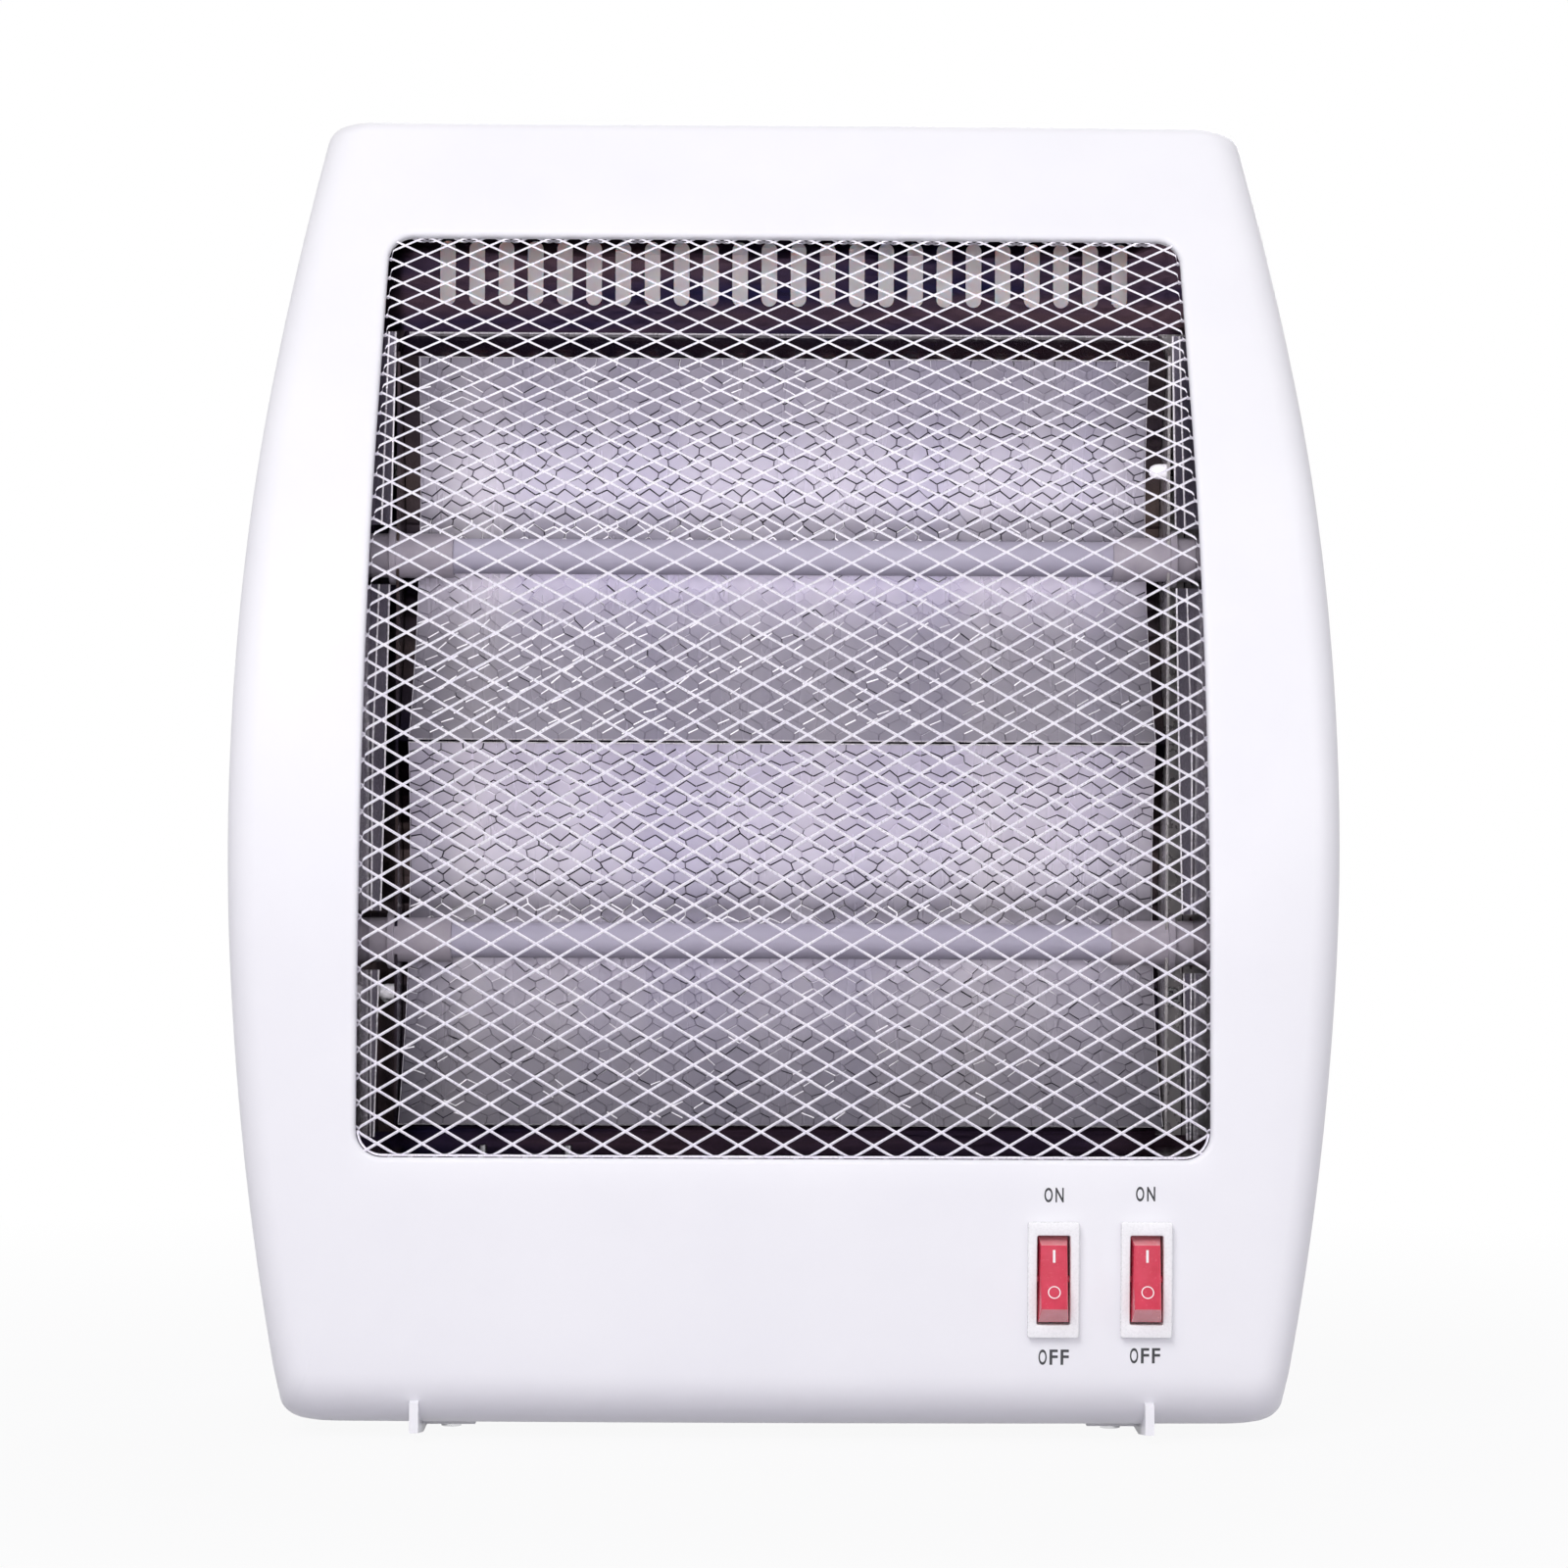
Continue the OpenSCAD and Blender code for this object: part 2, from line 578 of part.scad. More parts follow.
module front_grille() {
  points = [for (j = [0:2*net_rows]) for (i = [j%2:2:2*net_cols])
    let (x = (i - net_cols)*net_a, u = net_u0 + j*net_b, ex = net_k*net_a, eu = net_k*net_b)
    for (t = [net_in, net_in + net_t])
      for (p = [[x - ex, u], [x, u + eu], [x + ex, u], [x, u - eu]]) net_point(p[0], p[1], t)];
  faces = [for (j = [0:2*net_rows]) for (i = [j%2:2:2*net_cols]) for (f = concat(net_crossing(i, j),
    net_has(i + 1, j + 1) ? net_rising(i, j) : [], net_has(i - 1, j + 1) ? net_falling(i, j) : [])) f];
  color("gainsboro") polyhedron(points, faces, convexity = 10);
}

module grille_clips() {
  color("silver") for (s = [-1, 1]) for (z = clip_zs) on_front(s*clip_x, z) difference() {
    translate([-4 + (s > 0 ? -4 : 0), clip_in, -6]) cube([12, clip_t, 12]);
    rod_y(0, 0, pass_r, clip_in - 1, clip_in + clip_t + 1);
  }
}

module clip_screws() {
  color("silver") for (s = [-1, 1]) for (z = clip_zs) on_front(s*clip_x, z)
    translate([0, clip_in + clip_t + seat, 0]) rotate([90, 0, 0])
      screw(clip_in + clip_t - clip_skin - fit);
}

// ---- Heat shield and reflector ----
shield_in = clip_in + clip_t + fit;
function shield_front(z) = front_y + front_off(z, shield_in) + crown_at(shield_w/2);
shield_front_zs = [shield_bottom, low_z, lean_z, for (k = [1:6]) lean_z + (lean_z1 - lean_z)*k/6, shield_top];
module shield_side() polygon(concat([for (z = shield_front_zs) [shield_front(z), z]],
  [[shield_y + eps, shield_top], [shield_y + eps, shield_bottom]]));
module heat_shield() {
  color("darkgray") difference() {
    union() {
      for (s = [-1, 1]) side_plate(s*(shield_w + shield_t)/2, shield_t) shield_side();
      translate([-shield_w/2 - shield_t, shield_y, shield_bottom])
        cube([shield_w + 2*shield_t, shield_t, shield_top - shield_bottom]);
      translate([-shield_w/2 - shield_t, shield_front(shield_bottom), shield_bottom])
        cube([shield_w + 2*shield_t, shield_y + shield_t - shield_front(shield_bottom), shield_t]);
      translate([-shield_w/2 - shield_t, shield_front(shield_top), shield_top - shield_t])
        cube([shield_w + 2*shield_t, shield_y + shield_t - shield_front(shield_top), shield_t]);
    }
    for (k = [0:slot_count - 1]) translate([(k - (slot_count - 1)/2)*slot_pitch, 0, slot_z])
      deep(shield_y - 1, shield_y + shield_t + 1) slot(slot_w, slot_h);
    for (s = [-1, 1]) for (z = shield_screw_zs)
      rod_y(s*shield_screw_x, z, pass_r, shield_y - 1, shield_y + shield_t + 1);
    for (z = tube_zs) rod_x(tube_y, z, cap_d/2 + 1.2, -shield_w/2 - 2, shield_w/2 + 2);
    for (s = [-1, 1]) translate([cutout_x + s*cutout_pitch/2, cutout_y, shield_bottom - 1])
      cylinder(r = pilot_r, h = shield_t + 2);
  }
}

function trough(z) = let (k = floor(min(1.99, (z - reflector_low)/trough_h)),
    m = (z - reflector_low - trough_h*(k + 0.5))/(trough_h/2))
  trough_y + trough_d*(1 - m*m);
trough_steps = 14;
module reflector_profile() {
  front = [for (k = [0:2*trough_steps]) let (z = reflector_low + k*trough_h/trough_steps)
    [k == trough_steps ? trough_y : trough(z), z]];
  polygon(concat(
    [[shield_y - seat - reflector_t, reflector_low - 3]], front,
    [[shield_y - seat - reflector_t, reflector_top + 9], [shield_y - seat, reflector_top + 9]],
    [for (k = [2*trough_steps:-1:0]) front[k] + [reflector_t*(k == 2*trough_steps || k == 0 ? 3 : 1.6), 0]],
    [[shield_y - seat, reflector_low - 3]]));
}
module reflector() color("lightsteelblue") side_plate(0, reflector_w) reflector_profile();

module end_plate(s) {
  flange_w = shield_w/2 - fit - plate_x;
  color("silver") difference() {
    union() {
      side_plate(s*(plate_x + shield_t/2), shield_t) polygon([[trough_y - 1, reflector_low - 1],
        [trough_y - 1, reflector_top + 1], [shield_y - seat, reflector_top + 10],
        [shield_y - seat, reflector_low - 4]]);
      translate([s > 0 ? plate_x : -plate_x - flange_w, shield_y - seat - shield_t, reflector_low - 4])
        cube([flange_w, shield_t, reflector_top - reflector_low + 14]);
    }
    for (z = tube_zs) rod_x(tube_y, z, cap_d/2 + seat, -shield_w/2, shield_w/2);
    for (z = shield_screw_zs) rod_y(s*shield_screw_x, z, pass_r, shield_y - 2, shield_y + 1);
  }
}
module end_plate_left() end_plate(-1);
module end_plate_right() end_plate(1);

module shield_screws() {
  color("silver") for (s = [-1, 1]) for (z = shield_screw_zs)
    translate([s*shield_screw_x, shield_y - shield_t - 2*seat, z]) rotate([-90, 0, 0]) screw(shield_screw_l);
}

// ---- Heating tubes ----
module quartz_tube(z) {
  color("whitesmoke") difference() {
    rod_x(tube_y, z, tube_d/2, -tube_l/2, tube_l/2);
    rod_x(tube_y, z, tube_d/2 - tube_wall, -tube_l/2 - 1, tube_l/2 + 1);
  }
}
module quartz_tube_upper() quartz_tube(tube_zs[1]);
module quartz_tube_lower() quartz_tube(tube_zs[0]);

coil_end = tube_l/2 - 4;
lead_r = 1;
module heating_coil(z) color("dimgray") {
  rod_x(tube_y, z, coil_d/2, -coil_end, coil_end);
  rod_x(tube_y, z, lead_r, -cap_stop, cap_stop);
}
module heating_coil_upper() heating_coil(tube_zs[1]);
module heating_coil_lower() heating_coil(tube_zs[0]);

terminal_r = 1.6;
module ceramic_cap(s, z) {
  color("beige") to_side(s) difference() {
    union() {
      rod_x(tube_y, z, cap_d/2, tube_l/2 - cap_socket, cap_end);
      rod_x(tube_y, z, cap_d/2 + 2, plate_x + shield_t + seat, plate_x + shield_t + 3);
    }
    rod_x(tube_y, z, tube_d/2 + seat, tube_l/2 - cap_socket - 1, tube_l/2 + seat);
    rod_x(tube_y, z, terminal_r + seat, tube_l/2 - 1, cap_end + 1);
  }
}
module to_side(s) mirror([s < 0 ? 1 : 0, 0, 0]) children();
module ceramic_cap_upper_left() ceramic_cap(-1, tube_zs[1]);
module ceramic_cap_upper_right() ceramic_cap(1, tube_zs[1]);
module ceramic_cap_lower_left() ceramic_cap(-1, tube_zs[0]);
module ceramic_cap_lower_right() ceramic_cap(1, tube_zs[0]);

tab_t = 0.8;
module tube_terminals() {
  color("gold") for (s = [-1, 1]) for (z = tube_zs) to_side(s) {
    rod_x(tube_y, z, terminal_r, cap_stop, cap_end + 2);
    translate([cap_end + 1, tube_y - tube_tab_w/2, z - tab_t/2]) cube([tube_tab_l, tube_tab_w, tab_t]);
  }
}

// ---- Switches ----
module at_switch(k) translate([switch_xs[k], switch_ys[k], switch_z]) rotate([switch_tilt, 0, 0]) children();
cavity_w = rocker_w + 2*rocker_gap;
cavity_l = 2*(norm([rocker_side, 0.5]) + rocker_gap);
cavity_d = 14;
housing_d = 20;
pin_half = cavity_w/2 + 1;
module switch_housing(k) {
  color("ivory") at_switch(k) difference() {
    union() {
      translate([-bezel_w/2, -bezel_t, -bezel_h/2]) cube([bezel_w, bezel_t, bezel_h]);
      translate([-panel_w/2, -eps, -panel_h/2]) cube([panel_w, housing_d, panel_h]);
      // Snap ribs behind the panel
      for (s = [-1, 1]) translate([-3, rib_y, s*panel_h/2 - 0.5]) cube([6, 6, 1]);
    }
    translate([-cavity_w/2, -bezel_t - 1, -cavity_l/2]) cube([cavity_w, cavity_d + bezel_t + 1, cavity_l]);
    rod_x(pivot_depth - bezel_t, 0, pivot_d/2 + 0.05, -pin_half - 0.1, pin_half + 0.1);
  }
}
module switch_housing_left() switch_housing(0);
module switch_housing_right() switch_housing(1);

// The rocker in its middle position, v along Z and out along -Y, from the pivot
module rocker_profile() polygon([for (p = [
    [rocker_side, 0.5], [rocker_tip_v, rocker_tip_h], [0, rocker_mid_h], [-rocker_tip_v, rocker_tip_h],
    [-rocker_side, 0.5], [-rocker_side + 2.6, -2.4], [-2.5, -2.4], [-1.2, -6], [1.2, -6], [2.5, -2.4],
    [rocker_side - 2.6, -2.4]]) [-p[1], p[0]]]);
module rocker(k) {
  color("crimson") at_switch(k) translate([0, pivot_depth - bezel_t, 0]) rotate([-rocker_swing, 0, 0]) {
    intersection() {
      side_plate(0, rocker_w) rocker_profile();
      // The sides narrow a little towards the face
      translate([0, 0, -rocker_side - 1]) linear_extrude(2*rocker_side + 2)
        polygon([[-rocker_w/2, 8], [-rocker_w/2, -1.5], [-rocker_w/2 + 0.45, -rocker_tip_h - 1],
          [rocker_w/2 - 0.45, -rocker_tip_h - 1], [rocker_w/2, -1.5], [rocker_w/2, 8]]);
    }
    rod_x(0, 0, pivot_d/2, -pin_half, pin_half);
  }
}
module rocker_left() rocker(0);
module rocker_right() rocker(1);

tab_w = 4.8;
tab_l = 8;
tab_zs = [-8, 0, 8];
module switch_contacts() {
  color("goldenrod") for (k = [0, 1]) at_switch(k) for (s = [-1, 1])
    translate([-tab_w/2, cavity_d - 1, s*tab_zs[2] - 2]) cube([tab_w, 1 - seat, 4]);
}
module switch_terminals() {
  color("gold") for (k = [0, 1]) at_switch(k) for (z = tab_zs)
    translate([-tab_w/2, housing_d + seat, z - tab_t/2]) cube([tab_w, tab_l, tab_t]);
}

// ---- Tip-over switch ----
module tip_switch_housing() {
  color("dimgray") difference() {
    translate([tip_x - tip_w/2, tip_y - tip_d/2, floor_z + seat]) cube([tip_w, tip_d, tip_h - seat]);
    translate([tip_x, tip_y, floor_z - 1]) cylinder(r = plunger_d/2 + plunger_fit, h = tip_h);
    translate([tip_x, tip_y, floor_z + tip_floor])
      cylinder(d = collar_d + 1, h = tip_h - tip_floor - tip_roof);
    translate([tip_x, tip_y, floor_z + tip_floor]) cylinder(r = stem_d/2 + plunger_fit, h = tip_h);
    for (s = [-1, 1]) translate([tip_x + s*tip_screw_x, tip_y, floor_z - 1])
      cylinder(r = pilot_r, h = tip_screw_l + 2);
    // Side pockets lighten the block above the screws
    for (s = [-1, 1]) translate([tip_x + s*(tip_w/2 - 1), tip_y - tip_d/2 - 1, floor_z + 16])
      to_side(s) cube([4, tip_d + 2, tip_h - 22]);
  }
}
module tip_plunger() {
  r = plunger_d/2;
  color("orange") translate([tip_x, tip_y, 0]) rotate_extrude() polygon(concat([[0, plunger_lift]],
    [for (a = [15:15:90]) [r*sin(a), plunger_lift + 2*(1 - cos(a))]],
    [[r, collar_z], [collar_d/2, collar_z], [collar_d/2, collar_z + collar_h],
    [stem_d/2, collar_z + collar_h], [stem_d/2, stem_top], [0, stem_top]]));
}
spring_top = tip_top - tip_roof - seat;
module tip_spring() {
  z0 = collar_z + collar_h + seat;
  color("silver") translate([tip_x, tip_y, z0]) difference() {
    cylinder(d = collar_d - 2, h = spring_top - z0);
    translate([0, 0, -1]) cylinder(d = stem_d + 2, h = tip_h);
  }
}
micro_w = 20;
micro_d = 6.4;
micro_h = 10;
micro_gap = 1.2;
micro_tab_x = 7;
micro_tab_l = 4;
module microswitch() {
  z0 = stem_top + micro_gap;
  color("black") translate([tip_x, tip_y, 0]) difference() {
    union() {
      translate([-micro_w/2, -micro_d/2, z0]) cube([micro_w, micro_d, micro_h]);
      // Legs down to the housing, beside the stem
      for (s = [-1, 1]) translate([s*(micro_w/2 - 2) - 2, -micro_d/2, tip_top + seat])
        cube([4, micro_d, z0 - tip_top - seat + eps]);
      // Button that the stem presses
      translate([0, 0, stem_top + seat]) cylinder(d = 2.4, h = micro_gap);
      for (k = [-1, 0, 1]) translate([k*micro_tab_x - tab_t/2, -1.6, z0 + micro_h - eps])
        cube([tab_t, 3.2, micro_tab_l + eps]);
    }
    for (s = [-1, 1]) rod_y(s*5, z0 + 3, 1.1, -micro_d, micro_d);
  }
}
module tip_switch_screws() {
  color("silver") for (s = [-1, 1]) translate([tip_x + s*tip_screw_x, tip_y, bot_z + head_h])
    screw(tip_screw_l);
}

// ---- Thermal cut-out under the shield ----
cutout_flange_t = 1;
cutout_h = 9;
cutout_tab_x = 5;
cutout_tab_l = 8;
module thermal_cutout() {
  z = shield_bottom - seat;
  color("tan") translate([cutout_x, cutout_y, 0]) difference() {
    union() {
      translate([0, 0, z - cutout_flange_t]) linear_extrude(cutout_flange_t)
        lying_slot(cutout_pitch + 8, 9);
      translate([0, 0, z - cutout_h]) cylinder(d = 16, h = cutout_h);
      for (s = [-1, 1]) translate([s*cutout_tab_x - tab_t/2, -3, z - cutout_h - cutout_tab_l])
        cube([tab_t, 6, cutout_tab_l + 1]);
    }
    for (s = [-1, 1]) translate([s*cutout_pitch/2, 0, z - cutout_flange_t - 1])
      cylinder(r = pass_r, h = cutout_flange_t + 2);
  }
}
module cutout_screws() {
  color("silver") for (s = [-1, 1])
    translate([cutout_x + s*cutout_pitch/2, cutout_y, shield_bottom - cutout_flange_t - 2*seat])
      screw(cutout_screw_l);
}

// ---- Mains side ----
block_z = floor_z + block_post_h;
block_h = 12;
block_d = 16;
poles = [-11, 0, 11];
pole_z = 4.5;
block_foot_t = 3;
block_sink = 5;
module terminal_block() {
  color("white") translate([block_x, block_y, block_z]) difference() {
    union() {
      translate([-block_pitch/2 - 5, -block_d/2, seat]) cube([block_pitch + 10, block_d, block_foot_t]);
      translate([-16, -block_d/2, seat]) cube([32, block_d, block_h]);
    }
    for (x = poles) {
      translate([x, 0, block_h - block_sink]) cylinder(d = 4.4, h = block_sink + 1);
      rod_y(x, pole_z, 2, -block_d/2 - 1, block_d/2 + 1);
    }
    for (s = [-1, 1]) translate([s*block_pitch/2, 0, -1]) cylinder(r = pass_r, h = 6);
  }
}
module terminal_screws() {
  color("silver") {
    for (s = [-1, 1]) translate([block_x + s*block_pitch/2, block_y, block_z + block_foot_t + 2*seat])
      rotate([180, 0, 0]) screw(block_screw_l);
    for (x = poles) translate([block_x + x, block_y, block_z + block_h - block_sink + seat]) difference() {
      cylinder(d = 4, h = 4);
      translate([-2.5, -0.35, 3]) cube([5, 0.7, 2]);
    }
  }
}

gland_neck = cord_r + 2.5;
module cord_gland() {
  color("black") translate([cord_x, back_y, cord_z]) rotate([-90, 0, 0]) difference() {
    union() {
      translate([0, 0, seat]) cylinder(r = gland_neck + 2.5, h = gland_flange_t - seat);
      translate([0, 0, -wall - 3]) cylinder(r = gland_neck, h = wall + 4);
      translate([0, 0, -wall - 3]) cylinder(r = gland_neck + 1.5, h = 3 - seat);
    }
    translate([0, 0, -wall - 4]) cylinder(r = cord_r, h = wall + 8);
  }
}

clamp_z = floor_z + clamp_post_h + seat;
module cord_clamp() {
  color("white") translate([clamp_x, clamp_y, clamp_z]) difference() {
    translate([-clamp_pitch/2 - 5, -5, 0]) cube([clamp_pitch + 10, 10, clamp_t]);
    for (s = [-1, 1]) translate([s*clamp_pitch/2, 0, -1]) cylinder(r = pass_r, h = 6);
    rod_y(0, -1.5, 3.4, -6, 6);
  }
}
module clamp_screws() {
  color("silver") for (s = [-1, 1]) translate([clamp_x + s*clamp_pitch/2, clamp_y, clamp_z + clamp_t + seat])
    rotate([180, 0, 0]) screw(clamp_screw_l);
}

// A wire of round section through its points, bent on short chamfers
wire_d = 2.4;
wire_bend = 3;
function unit(v) = v/norm(v);
function bent(p) = concat([p[0]],
  [for (k = [1:len(p) - 2]) for (d = [-1, 1]) p[k] + wire_bend*unit(p[k + d] - p[k])],
  [p[len(p) - 1]]);
module wire(points) {
  p = bent(points);
  m = len(p) - 1;
  step = function (k) unit(p[k + 1] - p[k]);
  along = [for (k = [0:m]) unit(step(min(k, m - 1)) + step(max(k - 1, 0)))];
  loft([for (k = [0:m]) let (u = unit(cross(along[k], [0.3, 0.55, 0.8])), v = cross(along[k], u))
    [for (a = [0:45:315]) p[k] + wire_d/2*(u*cos(a) + v*sin(a))]]);
}
// The back of a switch tab, in the heater's frame
function tab_end(k, z) = let (y = housing_d + tab_l + 2*seat, c = cos(switch_tilt), s = sin(switch_tilt))
  [switch_xs[k], switch_ys[k] + y*c - z*s, switch_z + y*s + z*c];
// The hole of a pole of the terminal block, y from its axis
function pole_at(k, y) = [block_x + poles[k], block_y + y, block_z + pole_z];
wire_x = terminal_end + seat;
wire_out = 6;
low_lane = floor_z + 38;
lane_pitch = 4;
module tube_wires() {
  color("darkred") for (k = [0, 1]) {
    // From the right end of a tube to its switch
    a = [wire_x, tube_y, tube_zs[k]];
    e = tab_end(1 - k, tab_zs[1]);
    z = low_lane + lane_pitch*k;
    wire([a, a + [wire_out, 0, 0], [a[0] + wire_out, tube_y + 10*(1 - 2*k), z], [e[0], e[1] + 16, z],
      e + [0, wire_out, 0], e]);
    // From its left end to the terminal block
    c = [-wire_x, tube_y, tube_zs[k]];
    d = pole_at(k, 2);
    y = block_y + block_d/2 + 12 + wire_out*k;
    wire([c, c - [wire_out, 0, 0], [c[0] - wire_out, y, z], [d[0], y, z], [d[0], y, d[2]], d]);
  }
}

micro_tab_z = stem_top + micro_gap + micro_h + micro_tab_l + seat;
supply_lane = micro_tab_z + 5;
module supply_wires() {
  low = tab_zs[0];
  high = tab_zs[2];
  beside = [1.3, 0, 0];
  color("black") {
    // Line: block, tip-over switch, thermal cut-out, then both switches
    a = pole_at(2, -2);
    b = [tip_x + micro_tab_x, tip_y, micro_tab_z];
    wire([a, [a[0], tip_y, a[2]], [a[0], tip_y, supply_lane], [b[0], tip_y, supply_lane], b]);
    c = [tip_x - micro_tab_x, tip_y, micro_tab_z];
    d = [cutout_x + cutout_tab_x, cutout_y, shield_bottom - cutout_h - cutout_tab_l - 2*seat];
    side = tip_x - tip_w/2 - 5;
    wire([c, [c[0], tip_y, supply_lane], [side, tip_y, supply_lane], [side, cutout_y, d[2] - wire_out],
      [d[0], cutout_y, d[2] - wire_out], d]);
    e = d - [2*cutout_tab_x, 0, 0];
    f = tab_end(0, high) - beside;
    lane_y = tip_y - tip_d/2 - 10;
    z = e[2] - wire_out - 3;
    x = f[0] - 18;
    wire([e, [e[0], e[1], z], [e[0], lane_y, z], [x, lane_y, z], [x, lane_y, f[2] + wire_out],
      [f[0], lane_y, f[2] + wire_out], f + [0, wire_out, 0], f]);
    bridge(tab_end(0, high) + beside, tab_end(1, high));
    // Neutral of the lamps in the rockers
    g = pole_at(0, -2);
    h = tab_end(0, low) - beside;
    wire([g, [g[0], lane_y, g[2]], [h[0] - 10, h[1] + 2*wire_out, h[2]], h + [0, wire_out, 0], h]);
    bridge(tab_end(0, low) + beside, tab_end(1, low));
  }
}
module bridge(a, b) wire([a, a + [0, wire_out, 0], b + [0, wire_out, 0], b]);

// ---- Feet ----
module foot(s) {
  y0 = front_y + 3.4;
  y1 = back_y - 5;
  top = bot_z - seat;
  // A point just outside the rounded lower edge of the body, at angle a from its bottom
  round_at = function (a) let (z = bot_z + bottom_r*(1 - cos(a)))
    [front_y + front_off(z) + crown_at(foot_x) - 2*seat*sin(a), z - 2*seat*cos(a)];
  tip_a = acos(1 - (foot_tip - bot_z)/bottom_r);
  color("white") {
    difference() {
      union() {
        side_plate(s*foot_x, foot_t) polygon(concat(
          [[y0 + foot_nose, 0], [y0, foot_nose_h], [y0, foot_tip - 0.6]], [for (a = [tip_a, 40, 20, 0]) round_at(a)],
          [[y1, bot_z - 2*seat], [y1, 1], [y1 - 1, 0]]));
        translate([s*foot_flange_x - foot_flange/2, front_y + foot_flange_front, top - foot_flange_t])
          cube([foot_flange, y1 - foot_flange_back - front_y - foot_flange_front, foot_flange_t]);
      }
      for (y = foot_hole_ys) translate([s*foot_flange_x, y, -1]) cylinder(r = pass_r, h = bot_z + 2);
    }
  }
}
module foot_left() foot(-1);
module foot_right() foot(1);
module foot_screws() {
  color("silver") for (s = [-1, 1]) for (y = foot_hole_ys)
    translate([s*foot_flange_x, y, bot_z - foot_flange_t - 2*seat]) screw(foot_screw_l);
}
module case_screws() {
  color("silver") for (s = [-1, 1]) for (z = case_zs)
    translate([s*case_x(z), back_y - head_sink + seat, z]) rotate([90, 0, 0]) screw(rear_d);
}

// Places that the record of the part needs
echo(front_y = front_y, back_y = back_y, part_y = part_y, shield_y = shield_y, tube_y = tube_y);
echo(pivots = [for (k = [0, 1]) [switch_xs[k], switch_ys[k] + (pivot_depth - bezel_t)*cos(switch_tilt),
  switch_z + (pivot_depth - bezel_t)*sin(switch_tilt)]]);
echo(gland = [cord_x, back_y + gland_flange_t, cord_z], gland_len = wall + 3 + gland_flange_t);
echo(spring_top = spring_top);

front_cover();
rear_cover();
front_grille();
grille_clips();
clip_screws();
heat_shield();
shield_screws();
reflector();
end_plate_left();
end_plate_right();
quartz_tube_upper();
quartz_tube_lower();
heating_coil_upper();
heating_coil_lower();
ceramic_cap_upper_left();
ceramic_cap_upper_right();
ceramic_cap_lower_left();
ceramic_cap_lower_right();
tube_terminals();
switch_housing_left();
switch_housing_right();
rocker_left();
rocker_right();
switch_contacts();
switch_terminals();
tip_switch_housing();
tip_plunger();
tip_spring();
microswitch();
tip_switch_screws();
thermal_cutout();
cutout_screws();
terminal_block();
terminal_screws();
cord_gland();
cord_clamp();
clamp_screws();
tube_wires();
supply_wires();
foot_left();
foot_right();
foot_screws();
case_screws();
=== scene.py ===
import json
import random
from math import asin, copysign, cos, hypot, pi, radians as rad, sin, sqrt, tan
import bmesh
import bpy
from mathutils import Matrix, Vector

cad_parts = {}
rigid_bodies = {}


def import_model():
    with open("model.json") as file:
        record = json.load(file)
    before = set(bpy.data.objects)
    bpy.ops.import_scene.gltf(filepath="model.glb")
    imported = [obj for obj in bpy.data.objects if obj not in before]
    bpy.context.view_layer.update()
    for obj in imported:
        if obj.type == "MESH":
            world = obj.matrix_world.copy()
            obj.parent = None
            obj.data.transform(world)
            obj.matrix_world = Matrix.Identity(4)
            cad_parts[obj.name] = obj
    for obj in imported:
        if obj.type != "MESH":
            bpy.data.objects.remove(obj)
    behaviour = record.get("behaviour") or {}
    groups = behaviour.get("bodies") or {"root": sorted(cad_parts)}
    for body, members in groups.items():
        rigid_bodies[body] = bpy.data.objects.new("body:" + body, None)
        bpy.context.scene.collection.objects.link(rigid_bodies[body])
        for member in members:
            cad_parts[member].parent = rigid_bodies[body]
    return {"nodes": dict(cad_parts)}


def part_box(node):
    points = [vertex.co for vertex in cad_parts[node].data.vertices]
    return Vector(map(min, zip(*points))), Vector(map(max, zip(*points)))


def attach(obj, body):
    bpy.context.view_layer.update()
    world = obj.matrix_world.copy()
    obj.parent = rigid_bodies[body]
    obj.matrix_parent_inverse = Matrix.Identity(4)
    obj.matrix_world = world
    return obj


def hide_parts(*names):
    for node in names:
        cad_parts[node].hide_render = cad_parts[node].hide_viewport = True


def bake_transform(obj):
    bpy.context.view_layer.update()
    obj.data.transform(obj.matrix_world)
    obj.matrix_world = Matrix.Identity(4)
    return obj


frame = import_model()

scene = bpy.context.scene
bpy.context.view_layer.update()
finishes, slots = {}, {}


# Helpers. Shapes are worked in millimetres and scaled once, when a piece is finished

def mix(a, b, share):
    return a + (b - a) * share


def clamp(value, low=0, high=1):
    return min(max(value, low), high)


# The name of a piece that takes a node's place: quartz_tube_upper becomes quartzTubeUpper.
def camel(node):
    first, *rest = node.split("_")
    return first + "".join(word.title() for word in rest)


def newPiece(bm, name):
    mesh = bpy.data.meshes.new(name)
    bm.to_mesh(mesh)
    bm.free()
    piece = bpy.data.objects.new(name, mesh)
    scene.collection.objects.link(piece)
    return piece


def toMetres(bm):
    bmesh.ops.scale(bm, vec=(0.001, 0.001, 0.001), verts=bm.verts)


def finishPiece(bm, name, look, instead=None, rides="heater", sharp=35, recalc=True):
    if recalc:
        bmesh.ops.recalc_face_normals(bm, faces=bm.faces)
    toMetres(bm)
    piece = newPiece(bm, name)
    piece.data.materials.append(finishes[look])
    piece.data.shade_smooth()
    piece.data.set_sharp_from_angle(angle=rad(sharp))
    if rides:
        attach(piece, rides)
    if instead:
        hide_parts(instead)
    return piece


def finishNode(bm, node, look, **rest):
    return finishPiece(bm, camel(node), look, node, **rest)


def addLooks(piece, *looks):
    for look in looks:
        piece.data.materials.append(finishes[look])


